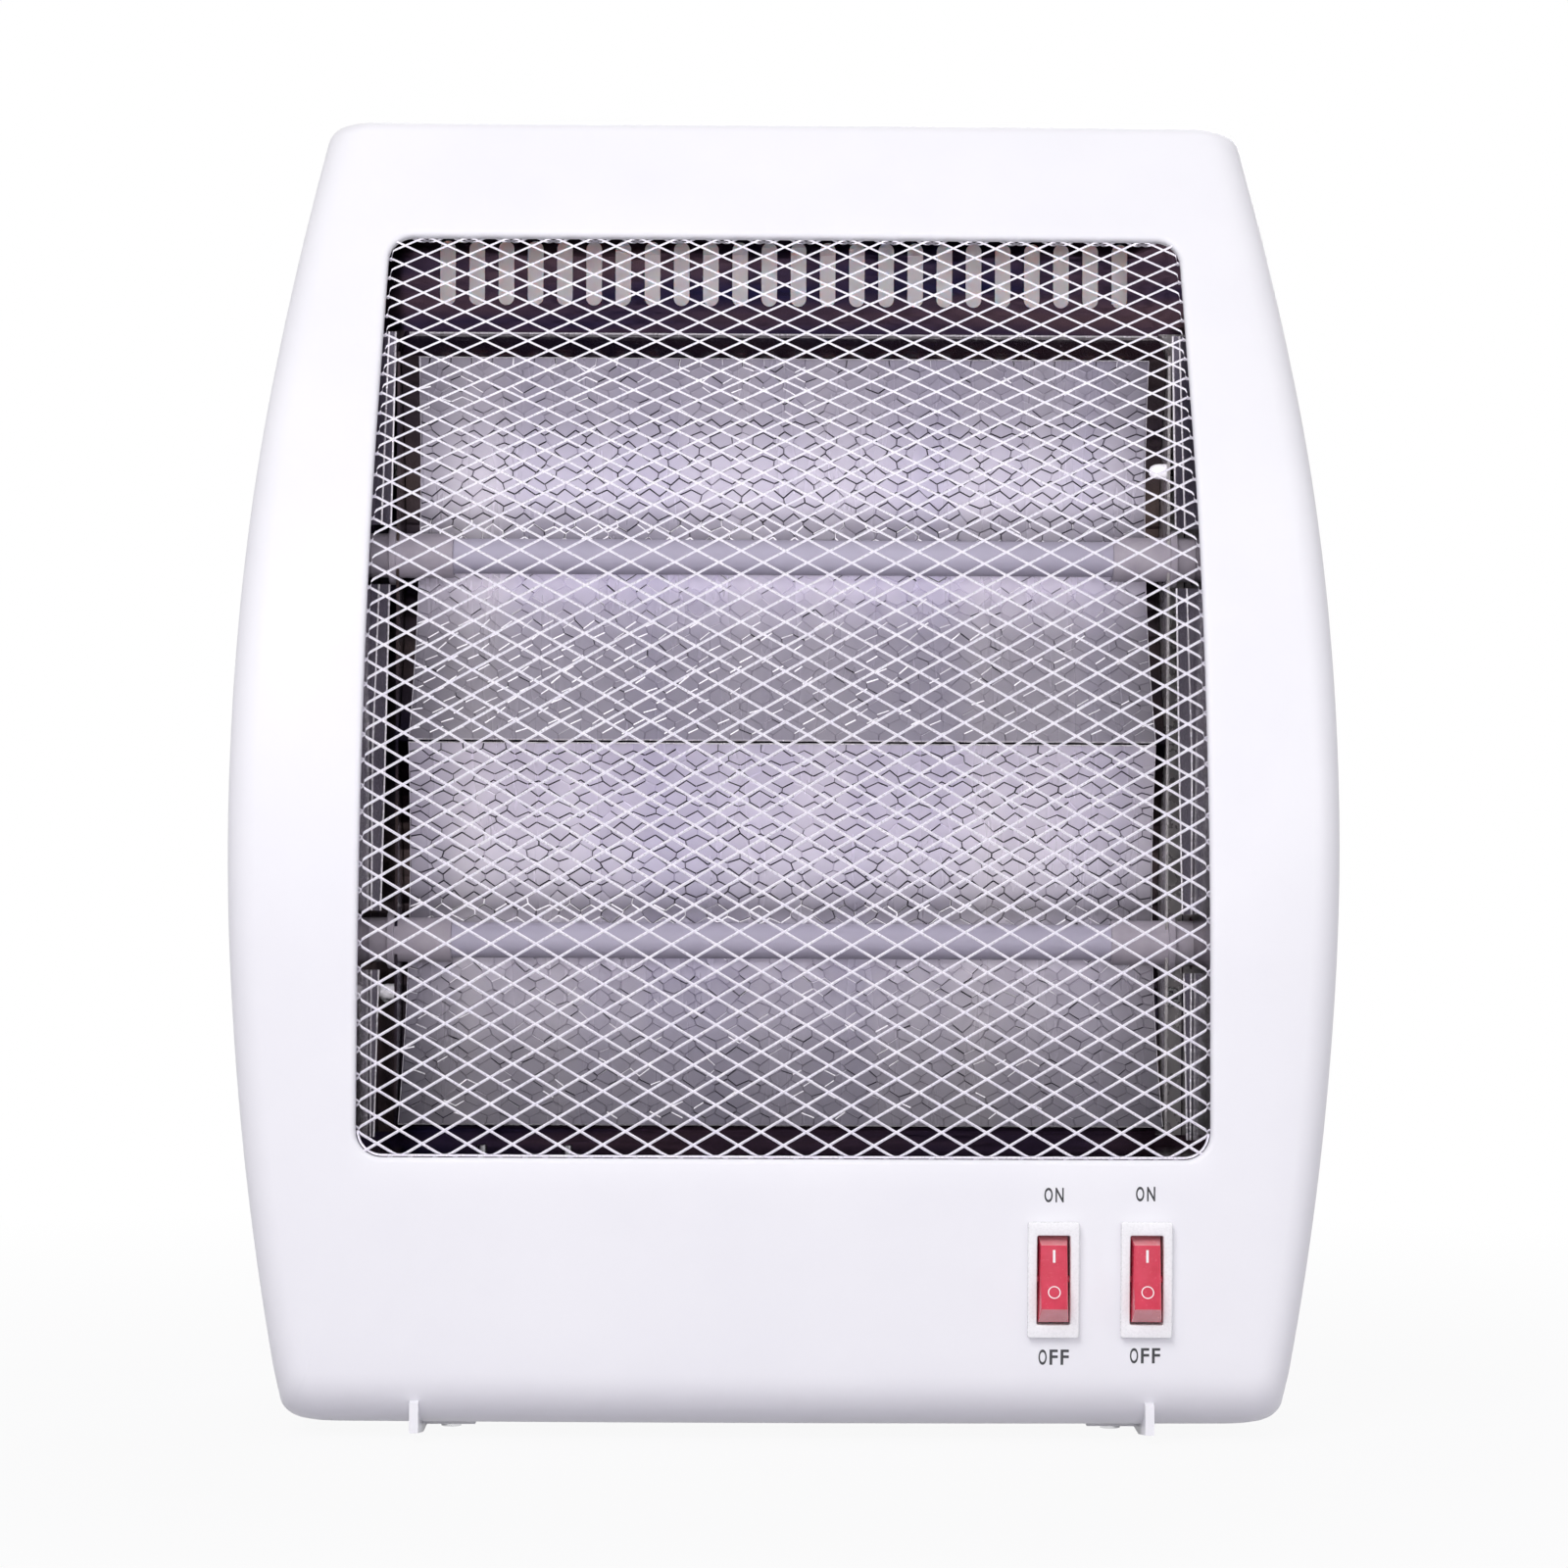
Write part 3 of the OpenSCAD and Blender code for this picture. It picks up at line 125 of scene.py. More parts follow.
# Extrudes a circle of vertices from ring to ring.
def loftRings(bm, rings, capped=False):
    made = bmesh.ops.create_circle(bm, segments=len(rings[0]), radius=1)["verts"]
    loop = [made[0]]
    while len(loop) < len(made):                 # walk round it, as its order isn't kept
        loop.append(next(o for o in (e.other_vert(loop[-1]) for e in loop[-1].link_edges)
                         if o in made and o not in loop[-2:]))
    for vert, place in zip(loop, rings[0]):
        vert.co = place
    first = [bm.edges.get((loop[k - 1], loop[k])) for k in range(len(loop))]
    edges = list(first)
    for ring in rings[1:]:
        made = bmesh.ops.extrude_edge_only(bm, edges=edges)["geom"]
        fresh = {item for item in made if isinstance(item, bmesh.types.BMVert)}
        loop = [next(o for o in (e.other_vert(v) for e in v.link_edges) if o in fresh)
                for v in loop]
        for vert, place in zip(loop, ring):
            vert.co = place
        edges = [bm.edges.get((loop[k - 1], loop[k])) for k in range(len(loop))]
    if capped:
        bmesh.ops.edgeloop_fill(bm, edges=first)
        bmesh.ops.edgeloop_fill(bm, edges=edges)


def anglesAround(count):
    return [2 * pi * k / count for k in range(count)]


# A turned shape: profile points are (distance along the axis, radius).
def turn(bm, profile, origin, direction, count=48):
    aim = Vector((0, 0, 1)).rotation_difference(Vector(direction)).to_matrix()
    rings = [[Vector(origin) + aim @ Vector((r * cos(a), r * sin(a), along))
              for a in anglesAround(count)] for along, r in profile]
    loftRings(bm, rings)
    bmesh.ops.remove_doubles(bm, verts=bm.verts, dist=0.002)


def turnRod(bm, start, end, radius, origin, direction, count):
    turn(bm, [(start, 0), (start, radius), (end, radius), (end, 0)], origin, direction, count)


# A thin rod or bead along a path.
def sweep(bm, path, radius, count=6):
    rings = []
    for k, point in enumerate(path):
        along = (path[min(k + 1, len(path) - 1)] - path[max(k - 1, 0)]).normalized()
        side = along.cross(Vector((0.1, 1, 0.2))).normalized()
        up = along.cross(side)
        rings.append([point + radius * (side * cos(a) + up * sin(a))
                      for a in anglesAround(count)])
    loftRings(bm, rings, True)


# A wire wound from a circle at the start, round an axis through the centre.
def wind(bm, start, wire, sides, centre, axis, advance, turns, perTurn):
    steps = turns * perTurn
    section = bmesh.ops.create_circle(bm, segments=sides, radius=wire)["verts"]
    bmesh.ops.transform(bm, matrix=Matrix.Translation(start) @ Matrix.Rotation(rad(90), 4, "X"),
                        verts=section)
    bmesh.ops.spin(bm, geom=bm.verts[:] + bm.edges[:], cent=centre, axis=axis,
                   dvec=[way / steps for way in advance], angle=2 * pi * turns, steps=steps,
                   use_merge=False)
    bmesh.ops.holes_fill(bm, edges=[e for e in bm.edges if e.is_boundary], sides=12)


# A rounded rectangle in X-Z, counter-clockwise seen from the front.
def roundedLoop(halfX, halfZ, radius, y, perCorner=6):
    points = []
    for sx, sz, start in ((1, 1, 0), (-1, 1, 90), (-1, -1, 180), (1, -1, 270)):
        for k in range(perCorner + 1):
            a = rad(start + 90 * k / perCorner)
            points.append(Vector((sx * (halfX - radius) + radius * cos(a), y,
                                  sz * (halfZ - radius) + radius * sin(a))))
    return points


# A copy of a CAD node's mesh, merged and with its flat faces whole again, in millimetres.
def mergedCopy(node):
    bm = bmesh.new()
    bm.from_mesh(frame["nodes"][node].data)
    bmesh.ops.remove_doubles(bm, verts=bm.verts, dist=2e-6)
    bmesh.ops.dissolve_limit(bm, angle_limit=rad(0.6), verts=bm.verts, edges=bm.edges)
    bmesh.ops.scale(bm, vec=(1000, 1000, 1000), verts=bm.verts)
    return bm


def softEdges(piece, width, angle):
    bevel = piece.modifiers.new("softEdges", "BEVEL")
    bevel.width = width * 0.001
    bevel.segments = 2
    bevel.limit_method = "ANGLE"
    bevel.angle_limit = rad(angle)
    bevel.use_clamp_overlap = True


def evaluatedMesh(piece):
    graph = bpy.context.evaluated_depsgraph_get()
    return bpy.data.meshes.new_from_object(piece.evaluated_get(graph))


# Materials

def newMaterial(name):
    material = bpy.data.materials.new(name)
    material.use_nodes = True
    tree = material.node_tree
    return material, tree, tree.nodes["Principled BSDF"]


# Sets or links a node's sockets and settings; an underscore in a name is a space.
def fill(tree, node, **values):
    for key, value in values.items():
        socket = key.replace("_", " ")
        if socket not in node.inputs:
            setattr(node, key, value)
        elif isinstance(value, bpy.types.NodeSocket):
            tree.links.new(value, node.inputs[socket])
        else:
            node.inputs[socket].default_value = value
    return node


def addNode(tree, kind, **values):
    return fill(tree, tree.nodes.new(kind), **values)


def pattern(tree, place, scale, detail):
    return addNode(tree, "ShaderNodeTexNoise", Vector=place, Scale=scale, Detail=detail,
                   Roughness=0.55).outputs["Fac"]


def between(tree, source, low, high, start=0.3, end=0.7):
    return addNode(tree, "ShaderNodeMapRange", Value=source, From_Min=start, From_Max=end,
                   To_Min=low, To_Max=high).outputs["Result"]


# A colour ramp over a value: stops are (position, colour).
def ramp(tree, source, stops):
    node = addNode(tree, "ShaderNodeValToRGB", Fac=source)
    elements = node.color_ramp.elements
    for place, colour in stops[1:-1]:
        elements.new(place).color = (*colour, 1)
    for element, (place, colour) in ((elements[0], stops[0]), (elements[-1], stops[-1])):
        element.position = place
        element.color = (*colour, 1)
    return node.outputs["Color"]


def multiplied(tree, first, second):
    return addNode(tree, "ShaderNodeMix", data_type="RGBA", blend_type="MULTIPLY", Factor=1.0,
                   A=first, B=second).outputs["Result"]


def calculated(tree, operation, *sources):
    node = addNode(tree, "ShaderNodeMath", operation=operation)
    for k, source in enumerate(sources):
        tree.links.new(source, node.inputs[k])
    return node.outputs[0]


def axes(tree, space):
    place = addNode(tree, "ShaderNodeTexCoord").outputs[space]
    return addNode(tree, "ShaderNodeSeparateXYZ", Vector=place).outputs


# A surface of two near colours, with its own roughness pattern and grain.
def makeFinish(name, slotName, first, second, mottle, rough, roughScale=400, grain=1800, bump=0.05,
               bumpDepth=0.0002, stretch=(1, 1, 1), roughDetail=4, **sockets):
    material, tree, shader = newMaterial(name)
    place = addNode(tree, "ShaderNodeTexCoord").outputs["Object"]
    place = addNode(tree, "ShaderNodeMapping", Vector=place, Scale=stretch).outputs[0]
    tint = ramp(tree, pattern(tree, place, mottle, 3), ((0.3, first), (0.7, second)))
    worn = between(tree, pattern(tree, place, roughScale, roughDetail), *rough)
    relief = addNode(tree, "ShaderNodeBump", Strength=bump, Distance=bumpDepth,
                     Height=pattern(tree, place, grain, 2)).outputs["Normal"]
    fill(tree, shader, Base_Color=tint, Roughness=worn, Normal=relief, **sockets)
    finishes[name], slots[name] = material, slotName


# Name, slot, two colours, scale of the mottling, roughness and its scale, grain and its relief
makeFinish("casePlastic", "case_plastic", (0.815, 0.81, 0.85), (0.84, 0.835, 0.87), 22,
           (0.34, 0.42), 900, 2600, 0.10, 0.00008, IOR=1.47)
# The same plastic where it is thin and lit from behind, and lets some warm light through
makeFinish("thinPlastic", "case_plastic", (0.83, 0.82, 0.85), (0.86, 0.85, 0.88), 22,
           (0.34, 0.42), 900, 2600, 0.10, 0.00008, IOR=1.47, Subsurface_Weight=0.6,
           Subsurface_Scale=0.005, Subsurface_Radius=(1.0, 0.62, 0.52))
makeFinish("meshWire", "mesh_wire", (0.88, 0.85, 0.95), (0.97, 0.94, 1.0), 260,
           (0.22, 0.38), 1500, 4000, 0.12, 0.00004, Metallic=0.25)
# The heat shield's polished metal, painted near-black with navy and maroon: a painted reflection of
# a dark room
makeFinish("sheetAluminium", "sheet_aluminium", (0.0135, 0.012, 0.043), (0.086, 0.05, 0.064), 34,
           (0.10, 0.2), 60, 90, 0.3, 0.0006, (0.3, 1, 2.8), Metallic=1.0)
makeFinish("hammeredAluminium", "hammered_aluminium", (0.75, 0.70, 0.89), (0.95, 0.89, 1.0), 30,
           (0.2, 0.34), 90, 500, 0.06, 0.0001, (1, 0.12, 0.12), Metallic=0.3)
# Painted shade for the creases of the hammered skins
makeFinish("creaseShade", "hammered_aluminium", (0.006, 0.005, 0.008), (0.045, 0.04, 0.055), 60,
           (0.45, 0.6), Metallic=0.2)
# Painted glints, near-white, on crease walls and screw heads
makeFinish("creaseGlint", "plated_steel", (0.93, 0.91, 0.95), (0.97, 0.96, 0.98), 300,
           (0.25, 0.35), Metallic=0.1)
# Painted highlights for sheet edges and the borders of the hammered skins
makeFinish("brightEdge", "sheet_aluminium", (0.80, 0.76, 0.80), (0.90, 0.87, 0.92), 300,
           (0.2, 0.32), Metallic=0.5)
makeFinish("dullAluminium", "sheet_aluminium", (0.13, 0.115, 0.155), (0.23, 0.21, 0.255), 60,
           (0.16, 0.26), 300, 900, 0.1, 0.0001, (1, 1, 0.3), Metallic=0.9)
# A shaded and a lit copy of one aluminium: painted shade for the left end plate and the reflector,
# painted light for the right end plate
makeFinish("burntAluminium", "sheet_aluminium", (0.03, 0.025, 0.045), (0.11, 0.08, 0.075), 40,
           (0.14, 0.24), 200, 300, 0.2, 0.0004, (0.4, 1, 1), Metallic=1.0)
makeFinish("paleAluminium", "sheet_aluminium", (0.28, 0.265, 0.27), (0.41, 0.385, 0.39), 90,
           (0.22, 0.34), 200, 300, 0.2, 0.0004, Metallic=0.6)
makeFinish("platePolish", "sheet_aluminium", (0.56, 0.56, 0.6), (0.66, 0.66, 0.7), 80,
           (0.22, 0.34), 500, 2200, 0.1, 0.00005, (1, 1, 8), Metallic=1.0)
makeFinish("frostedQuartz", "frosted_quartz", (0.305, 0.285, 0.358), (0.353, 0.333, 0.412), 40,
           (0.42, 0.55), 700, 3200, 0.2, 0.00005, (0.25, 1, 1), IOR=1.46)
makeFinish("resistanceWire", "resistance_wire", (0.20, 0.19, 0.19), (0.32, 0.30, 0.28), 300,
           (0.35, 0.5), Metallic=0.9)
# White ceramic caps, darkened to grey: painted shade
makeFinish("whiteCeramic", "white_ceramic", (0.27, 0.243, 0.285), (0.335, 0.305, 0.345), 150,
           (0.42, 0.6), 900, 2600, 0.25, 0.00008)
makeFinish("brassTabs", "brass_tabs", (0.72, 0.50, 0.22), (0.80, 0.60, 0.30), 200,
           (0.22, 0.36), 700, Metallic=1.0)
makeFinish("platedSteel", "plated_steel", (0.66, 0.66, 0.68), (0.78, 0.78, 0.79), 240,
           (0.18, 0.3), 900, 2600, 0.08, 0.00004, Metallic=1.0)
makeFinish("springSteel", "plated_steel", (0.42, 0.42, 0.44), (0.55, 0.55, 0.57), 400,
           (0.2, 0.34), 1500, Metallic=1.0)
makeFinish("switchPlastic", "switch_plastic", (0.84, 0.835, 0.855), (0.87, 0.865, 0.885), 90,
           (0.24, 0.32), 1500, 5000, 0.05, 0.00004, IOR=1.49)
makeFinish("darkPlastic", "black_plastic", (0.022, 0.022, 0.024), (0.035, 0.035, 0.037), 120,
           (0.38, 0.52), 1200, 3000, 0.2, 0.00006)
makeFinish("greyPlastic", "grey_plastic", (0.30, 0.31, 0.33), (0.35, 0.36, 0.38), 120,
           (0.4, 0.5), 1200, 3000, 0.2, 0.00006)
makeFinish("tanPhenolic", "tan_phenolic", (0.42, 0.28, 0.16), (0.54, 0.38, 0.23), 700,
           (0.4, 0.55), 1200)
makeFinish("whiteNylon", "white_nylon", (0.78, 0.78, 0.74), (0.84, 0.84, 0.80), 150,
           (0.42, 0.55), 900)
makeFinish("redInsulation", "red_insulation", (0.42, 0.03, 0.03), (0.52, 0.05, 0.04), 300,
           (0.4, 0.52), 1500)
makeFinish("blackInsulation", "black_insulation", (0.02, 0.02, 0.022), (0.035, 0.035, 0.036), 300,
           (0.4, 0.52), 1500)
makeFinish("printInk", "black_plastic", (0.035, 0.035, 0.04), (0.055, 0.055, 0.06), 900,
           (0.5, 0.65), 3000)
makeFinish("markWhite", "rocker_plastic", (0.86, 0.80, 0.82), (0.92, 0.88, 0.89), 900,
           (0.35, 0.45), 3000)
# Clear red plastic, which lets a little light through, and a paler copy of it for the noses as
# painted light
for name, first, second in (("rockerRed", (0.56, 0.022, 0.06), (0.63, 0.035, 0.085)),
                            ("rockerNose", (0.66, 0.22, 0.25), (0.72, 0.28, 0.31))):
    makeFinish(name, "rocker_plastic", first, second, 300, (0.2, 0.28), 1400, 4000, 0.06, 0.00005,
               roughDetail=2, Subsurface_Weight=0.25, Subsurface_Radius=(1.0, 0.15, 0.2),
               Subsurface_Scale=0.002, Coat_Weight=0.3, Coat_Roughness=0.12)

# Painted light and shade on the reflector: a tone for each height share, and painted shade
# darkening it towards the left and right, in metres
reflector = {
    "low": 0.0785, "high": 0.2965, "fade": (0.088, 0.106), "endShadeTo": 0.62,
    "tones": ((0, 0.175), (0.1, 0.285), (0.16, 0.455), (0.2, 0.56), (0.25, 0.53), (0.28, 0.25),
              (0.305, 0.49), (0.335, 0.68), (0.37, 0.83), (0.4, 0.93), (0.43, 1), (0.499, 1),
              (0.502, 0.33), (0.6, 0.33), (0.64, 0.37), (0.67, 0.6), (0.72, 0.97), (0.765, 0.25),
              (0.79, 0.37), (0.82, 0.71), (0.85, 0.72), (0.875, 0.69), (0.9, 0.58), (0.93, 0.465),
              (1, 0.44)),
}


# Paints light and shade into the hammered aluminium's colour: bands by height, and darker towards
# the left and right.
def paintReflectorLightAndShade():
    tree = finishes["hammeredAluminium"].node_tree
    shader = tree.nodes["Principled BSDF"]
    plain = shader.inputs["Base Color"].links[0].from_socket
    spot = axes(tree, "Object")
    share = between(tree, spot["Z"], 0, 1, reflector["low"], reflector["high"])
    tones = ramp(tree, share, [(place, (tone,) * 3) for place, tone in reflector["tones"]])
    away = calculated(tree, "ABSOLUTE", spot["X"])
    paintedEndShade = between(tree, away, 1, reflector["endShadeTo"], *reflector["fade"])
    fill(tree, shader, Base_Color=multiplied(tree, multiplied(tree, plain, tones), paintedEndShade))


paintReflectorLightAndShade()
print("materials made:", len(finishes))


# The moulded front: the same curves as the CAD

body = {
    "frontY": -68.5873, "partY": 57.4127, "bottom": 3.6, "top": 368.0, "width": 300.0, "wall": 2.2,
    "apexZ": 170.0, "upperRadius": 1090.0, "lowerRadius": 885.0, "cornerRadius": 6.0,
    "leanZ": 125.0, "leanRadius": 275.0, "lean": 35.0, "lowZ": 100.0, "lowRadius": 1500.0,
    "crown": 3.0, "edgeRadius": 10.0, "draft": 0.3, "lowerEdge": 15.0, "upperEdge": 8.0,
}
frontY, partY, leanZ, leanRadius, upperEdge, lowerEdge, cornerRadius = (body[key] for key in (
    "frontY", "partY", "leanZ", "leanRadius", "upperEdge", "lowerEdge", "cornerRadius"))
lean = rad(body["lean"])
leanTopZ = leanZ + leanRadius * sin(lean)
leanOff = leanRadius * (1 - cos(lean))
leanLength = leanRadius * lean
upperCentreZ = body["top"] - upperEdge
upperStartZ = upperCentreZ + upperEdge * sin(lean)
upperOff = leanOff + (upperStartZ - leanTopZ) * tan(lean) + upperEdge * cos(lean)
lowerStartZ = body["bottom"] + lowerEdge


def arcBack(radius, height):
    return sqrt(max(0.0, radius * radius - height * height))


def lowOff(z):
    if z >= body["lowZ"]:
        return 0.0
    return body["lowRadius"] - arcBack(body["lowRadius"], body["lowZ"] - z)


# How far the front lies behind its foremost plane, for a skin t inside the outer one.
def frontOff(z, t=0.0):
    if z > upperCentreZ + (upperEdge - t) * sin(lean):
        return upperOff - arcBack(upperEdge - t, z - upperCentreZ)
    if z > leanZ + (leanRadius - t) * sin(lean):
        return leanOff + (z - leanTopZ) * tan(lean) + t / cos(lean)
    if z > leanZ:
        return leanRadius - arcBack(leanRadius - t, z - leanZ)
    if z < lowerStartZ:
        return lowOff(z) + lowerEdge - arcBack(lowerEdge - t, lowerStartZ - z)
    return lowOff(z) + t


# The lean of the front at a height.
def leanAt(z):
    return asin(clamp((z - leanZ) / leanRadius, 0, sin(lean)))


def crownAt(x):
    return body["crown"] * (2 * x / body["width"]) ** 2


def halfWidth(z, t):
    radius = body["upperRadius"] if z > body["apexZ"] else body["lowerRadius"]
    side = body["width"] / 2 - radius + arcBack(radius, z - body["apexZ"])
    if z < body["bottom"] + cornerRadius:
        return side - cornerRadius + arcBack(cornerRadius - t, body["bottom"] + cornerRadius - z)
    if z > body["top"] - cornerRadius:
        return side - cornerRadius + arcBack(cornerRadius - t, z - body["top"] + cornerRadius)
    return side - t


# Half width at the parting line, half width where the side meets the round edge, and its radius.
def edgeAt(z, t):
    w = halfWidth(z, t)
    yFront = frontY + frontOff(z, t)
    radius = min(body["edgeRadius"] - t, partY - yFront - crownAt(w) - 1)
    return w, w - (partY - yFront - radius) * tan(rad(body["draft"])), radius


def skinY(x, z, t=0.0):
    _, wf, radius = edgeAt(z, t)
    yFront = frontY + frontOff(z, t)
    beyond = abs(x) - (wf - radius)
    if beyond <= 0:
        return yFront + crownAt(x)
    return yFront + crownAt(wf - radius) + radius - arcBack(radius, beyond)


# Front shell: rings run from the window outwards over the edge to the parting line

shell = {
    "windowBottom": 76.0, "windowTop": 332.0, "windowLow": 113.75, "windowHigh": 112.5,
    "windowRadius": 7.0, "windowEdge": 1.5, "cornerSteps": 10, "straightSteps": 2, "topSteps": 36,
    "sideSteps": 52, "flatSteps": 8, "edgeSteps": 9, "cornerRun": 8.0, "partChamfer": 0.35,
    "sideLevels": (2.12, 2.35, 2.65, 2.9), "insideLevels": (2.2, 2, 1.75, 1.5, 1.25, 1, 0.5),
    "switchX": (71.9, 96.7), "switchZ": 44.3, "switchHalf": 6.8, "switchSunk": 0.05,
    "switchTilt": 2.128, "switchHole": (12.2, 29.0, 0.6), "holeReach": (-4, 5),
    "plunger": (-30.0, 5.0, 4.7), "plungerReach": (-3, 8), "counterbore": (12.8, 3.0, 1.55),
}


# A point of the window's outline: four corners and the four straight runs after them.
def windowPoint(corner, share, grow):
    r = shell["windowRadius"] + grow
    high, low = shell["windowHigh"] + grow, shell["windowLow"] + grow
    top, bottom = shell["windowTop"] + grow, shell["windowBottom"] - grow
    centres = ((high - r, top - r), (r - high, top - r),
               (r - low, bottom + r), (low - r, bottom + r))
    cx, cz = centres[corner % 4]
    a = rad(90 * (corner + share))
    return cx + r * cos(a), cz + r * sin(a)


# The contour of the cover at a level: 1 is where its edges start to round, 2 where they end.
def contourPoints(level, t):
    part = min(level, 2) - 1
    swing = sin(rad(90 * part))
    upper = sin(lean + (pi / 2 - lean) * part)
    steps, run = shell["cornerSteps"], shell["cornerRun"]
    straight = shell["straightSteps"]
    arc = steps - straight
    points = []
    for corner, (sx, up) in enumerate(((1, True), (-1, True), (-1, False), (1, False))):
        if up:
            zLevel = upperCentreZ + (upperEdge - t) * upper
            zOne = upperCentreZ + (upperEdge - t) * sin(lean)
            share = (upper - sin(lean)) / (1 - sin(lean))
            zCorner, sign = body["top"] - cornerRadius, 1
        else:
            zLevel = lowerStartZ - (lowerEdge - t) * swing
            zOne = lowerStartZ
            share = swing
            zCorner, sign = body["bottom"] + cornerRadius, -1
        path = []
        for k in range(steps + 1):               # up the side, then along the upper or lower edge
            one = mix(zOne - sign * run, zOne, k / steps)
            if k < straight:
                two = mix(zOne - sign * run, zCorner, k / straight)
            else:
                a = rad(90 * (k - straight) / arc)
                two = zCorner + sign * (cornerRadius - t) * sin(a)
            z = mix(one, two, share)
            _, wf, radius = edgeAt(z, t)
            path.append(Vector((sx * (wf - radius + radius * swing), 0, z)))
        _, wf, radius = edgeAt(zLevel, t)
        for k in range(1, steps + 1):
            one = mix(wf - radius + radius * swing, wf - radius - run, k / steps)
            if k <= arc:
                two = wf - radius + radius * swing * cos(rad(90 * k / arc))
            else:
                two = wf - radius - run * (k - arc) / straight
            path.append(Vector((sx * mix(one, two, share), 0, zLevel)))
        points.append(path if corner in (0, 2) else path[::-1])
    return points


# One ring of the cover; below level 1 it lies between the window and the rounded edges.
def shellRing(level, t=0.0, grow=0.0):
    corners = contourPoints(max(level, 1), t)
    steps = 2 * shell["cornerSteps"]
    ring = []
    for corner in range(4):
        runs = shell["topSteps"] if corner % 2 == 0 else shell["sideSteps"]
        here, after = corners[corner], corners[(corner + 1) % 4]
        outer = here + [mix(here[-1], after[0], k / runs) for k in range(1, runs)]
        inner = [windowPoint(corner, k / steps, grow) for k in range(steps + 1)]
        lastX, lastZ = inner[-1]
        nextX, nextZ = windowPoint(corner + 1, 0, grow)
        inner += [(mix(lastX, nextX, k / runs), mix(lastZ, nextZ, k / runs))
                  for k in range(1, runs)]
        for k, (goal, (x, z)) in enumerate(zip(outer, inner)):
            if level <= 1:                       # the edge stands square to the leaning front
                x, z = mix(x, goal.x, level), mix(z, goal.z, level)
                z -= t * sin(leanAt(z)) * (1 - level)
                ring.append(Vector((x, frontY + frontOff(z, t) + crownAt(x), z)))
                continue
            x, z = goal.x, goal.z
            w, wf, radius = edgeAt(z, t)
            if k >= steps and corner % 2:        # straight sides follow the curved outline
                swing = sin(rad(90 * (min(level, 2) - 1)))
                x = copysign(wf - radius + radius * swing, x)
            deep = max(level - 2, 0)
            y = mix(skinY(x, z, t), partY, deep)
            ring.append(Vector((x * mix(1, w / wf, deep), y, z)))
    if level == 1:
        for point in ring:
            _, wf, radius = edgeAt(point.z, t)
            if abs(point.x) > wf - radius:
                point.x = copysign(wf - radius, point.x)
    return ring


def makeFrontShell():
    wall, edge = body["wall"], shell["windowEdge"]
    flats, edges = shell["flatSteps"], shell["edgeSteps"]
    rings = [shellRing(0, wall), shellRing(0, edge)]
    for k in range(1, 5):                        # the small round edge of the window
        a = rad(90 - 22.5 * k)
        rings.append(shellRing(0, edge * (1 - cos(a)), edge * (1 - sin(a))))
    rings += [shellRing(k / flats, 0, edge) for k in range(1, flats + 1)]
    rings += [shellRing(1 + k / edges) for k in range(1, edges + 1)]
    rings += [shellRing(level) for level in shell["sideLevels"]]
    last = shellRing(3)
    nearly = shellRing(2.99)                     # a hundredth of the depth before it
    rings.append([mix(p, q, 1 - shell["partChamfer"] / max(0.4, (q - p).length * 100))
                  for p, q in zip(nearly, last)])
    rings += [shellRing(3, shell["partChamfer"]), shellRing(3, wall)]
    rings += [shellRing(level, wall) for level in shell["insideLevels"]]
    rings.append(rings[0])
    bm = bmesh.new()
    loftRings(bm, rings)
    bmesh.ops.remove_doubles(bm, verts=bm.verts, dist=0.0005)
    return bm


# The place of a switch: its panel's plane, which tilts with the front.
def switchFrame(index):
    x, z = shell["switchX"][index], shell["switchZ"]
    y = frontY + lowOff(z) + crownAt(x - shell["switchHalf"]) - shell["switchSunk"]
    return Matrix.Translation((x, y, z)) @ Matrix.Rotation(rad(shell["switchTilt"]), 4, "X")


def makeCutter():
    bm = bmesh.new()
    wide, high, corner = shell["switchHole"]
    for index in (0, 1):
        place = switchFrame(index)
        loftRings(bm, [[place @ p for p in roundedLoop(wide / 2, high / 2, corner, y, 3)]
                       for y in shell["holeReach"]], True)
    x, y, bore = shell["plunger"]
    start, end = shell["plungerReach"]
    away, head, sunk = shell["counterbore"]
    for cx, radius, depth in ((x, bore, end), (x - away, head, sunk), (x + away, head, sunk)):
        turnRod(bm, start, depth, radius, (cx, y, body["bottom"]), (0, 0, 1), 40)
    bmesh.ops.recalc_face_normals(bm, faces=bm.faces)
    toMetres(bm)
    return newPiece(bm, "cutter")


frontShell = finishPiece(makeFrontShell(), "frontShell", "casePlastic", "front_cover", sharp=38)
cutter = makeCutter()
cut = frontShell.modifiers.new("cut", "BOOLEAN")
cut.operation = "DIFFERENCE"
cut.solver = "EXACT"
cut.object = cutter
bpy.context.view_layer.update()
whole = evaluatedMesh(frontShell)
frontShell.modifiers.remove(cut)
frontShell.data = whole
bpy.data.objects.remove(cutter)
frontShell.data.set_sharp_from_angle(angle=rad(38))
print("front shell:", len(frontShell.data.polygons), "faces")

rearShell = finishPiece(mergedCopy("rear_cover"), "rearShell", "thinPlastic", "rear_cover",
                        sharp=32, recalc=False)
softEdges(rearShell, 0.3, 50)
print("rear shell done")


# Mesh guard: a flat diamond lattice, folded back round the window and laid on the front

guard = {
    "pitchX": 12.0, "pitchU": 7.1, "columns": 22, "rows": 42, "wire": 0.72, "field": 1.0,
    "rim": 3.05, "foldRadius": 0.7, "inside": 0.2, "halfWidth": 121.0, "reachU": 4.6,
    "edgeCuts": 6, "bendZone": 6, "selvage": 0.34, "selvageInset": 0.55, "selvageDeep": 0.7,
    "selvageBends": 12, "selvageSteps": 24,
}
windowU0 = shell["windowBottom"] - leanZ
windowU1 = leanLength + (shell["windowTop"] - leanTopZ) / cos(lean)
fold = guard["inside"] + 2 * guard["foldRadius"]


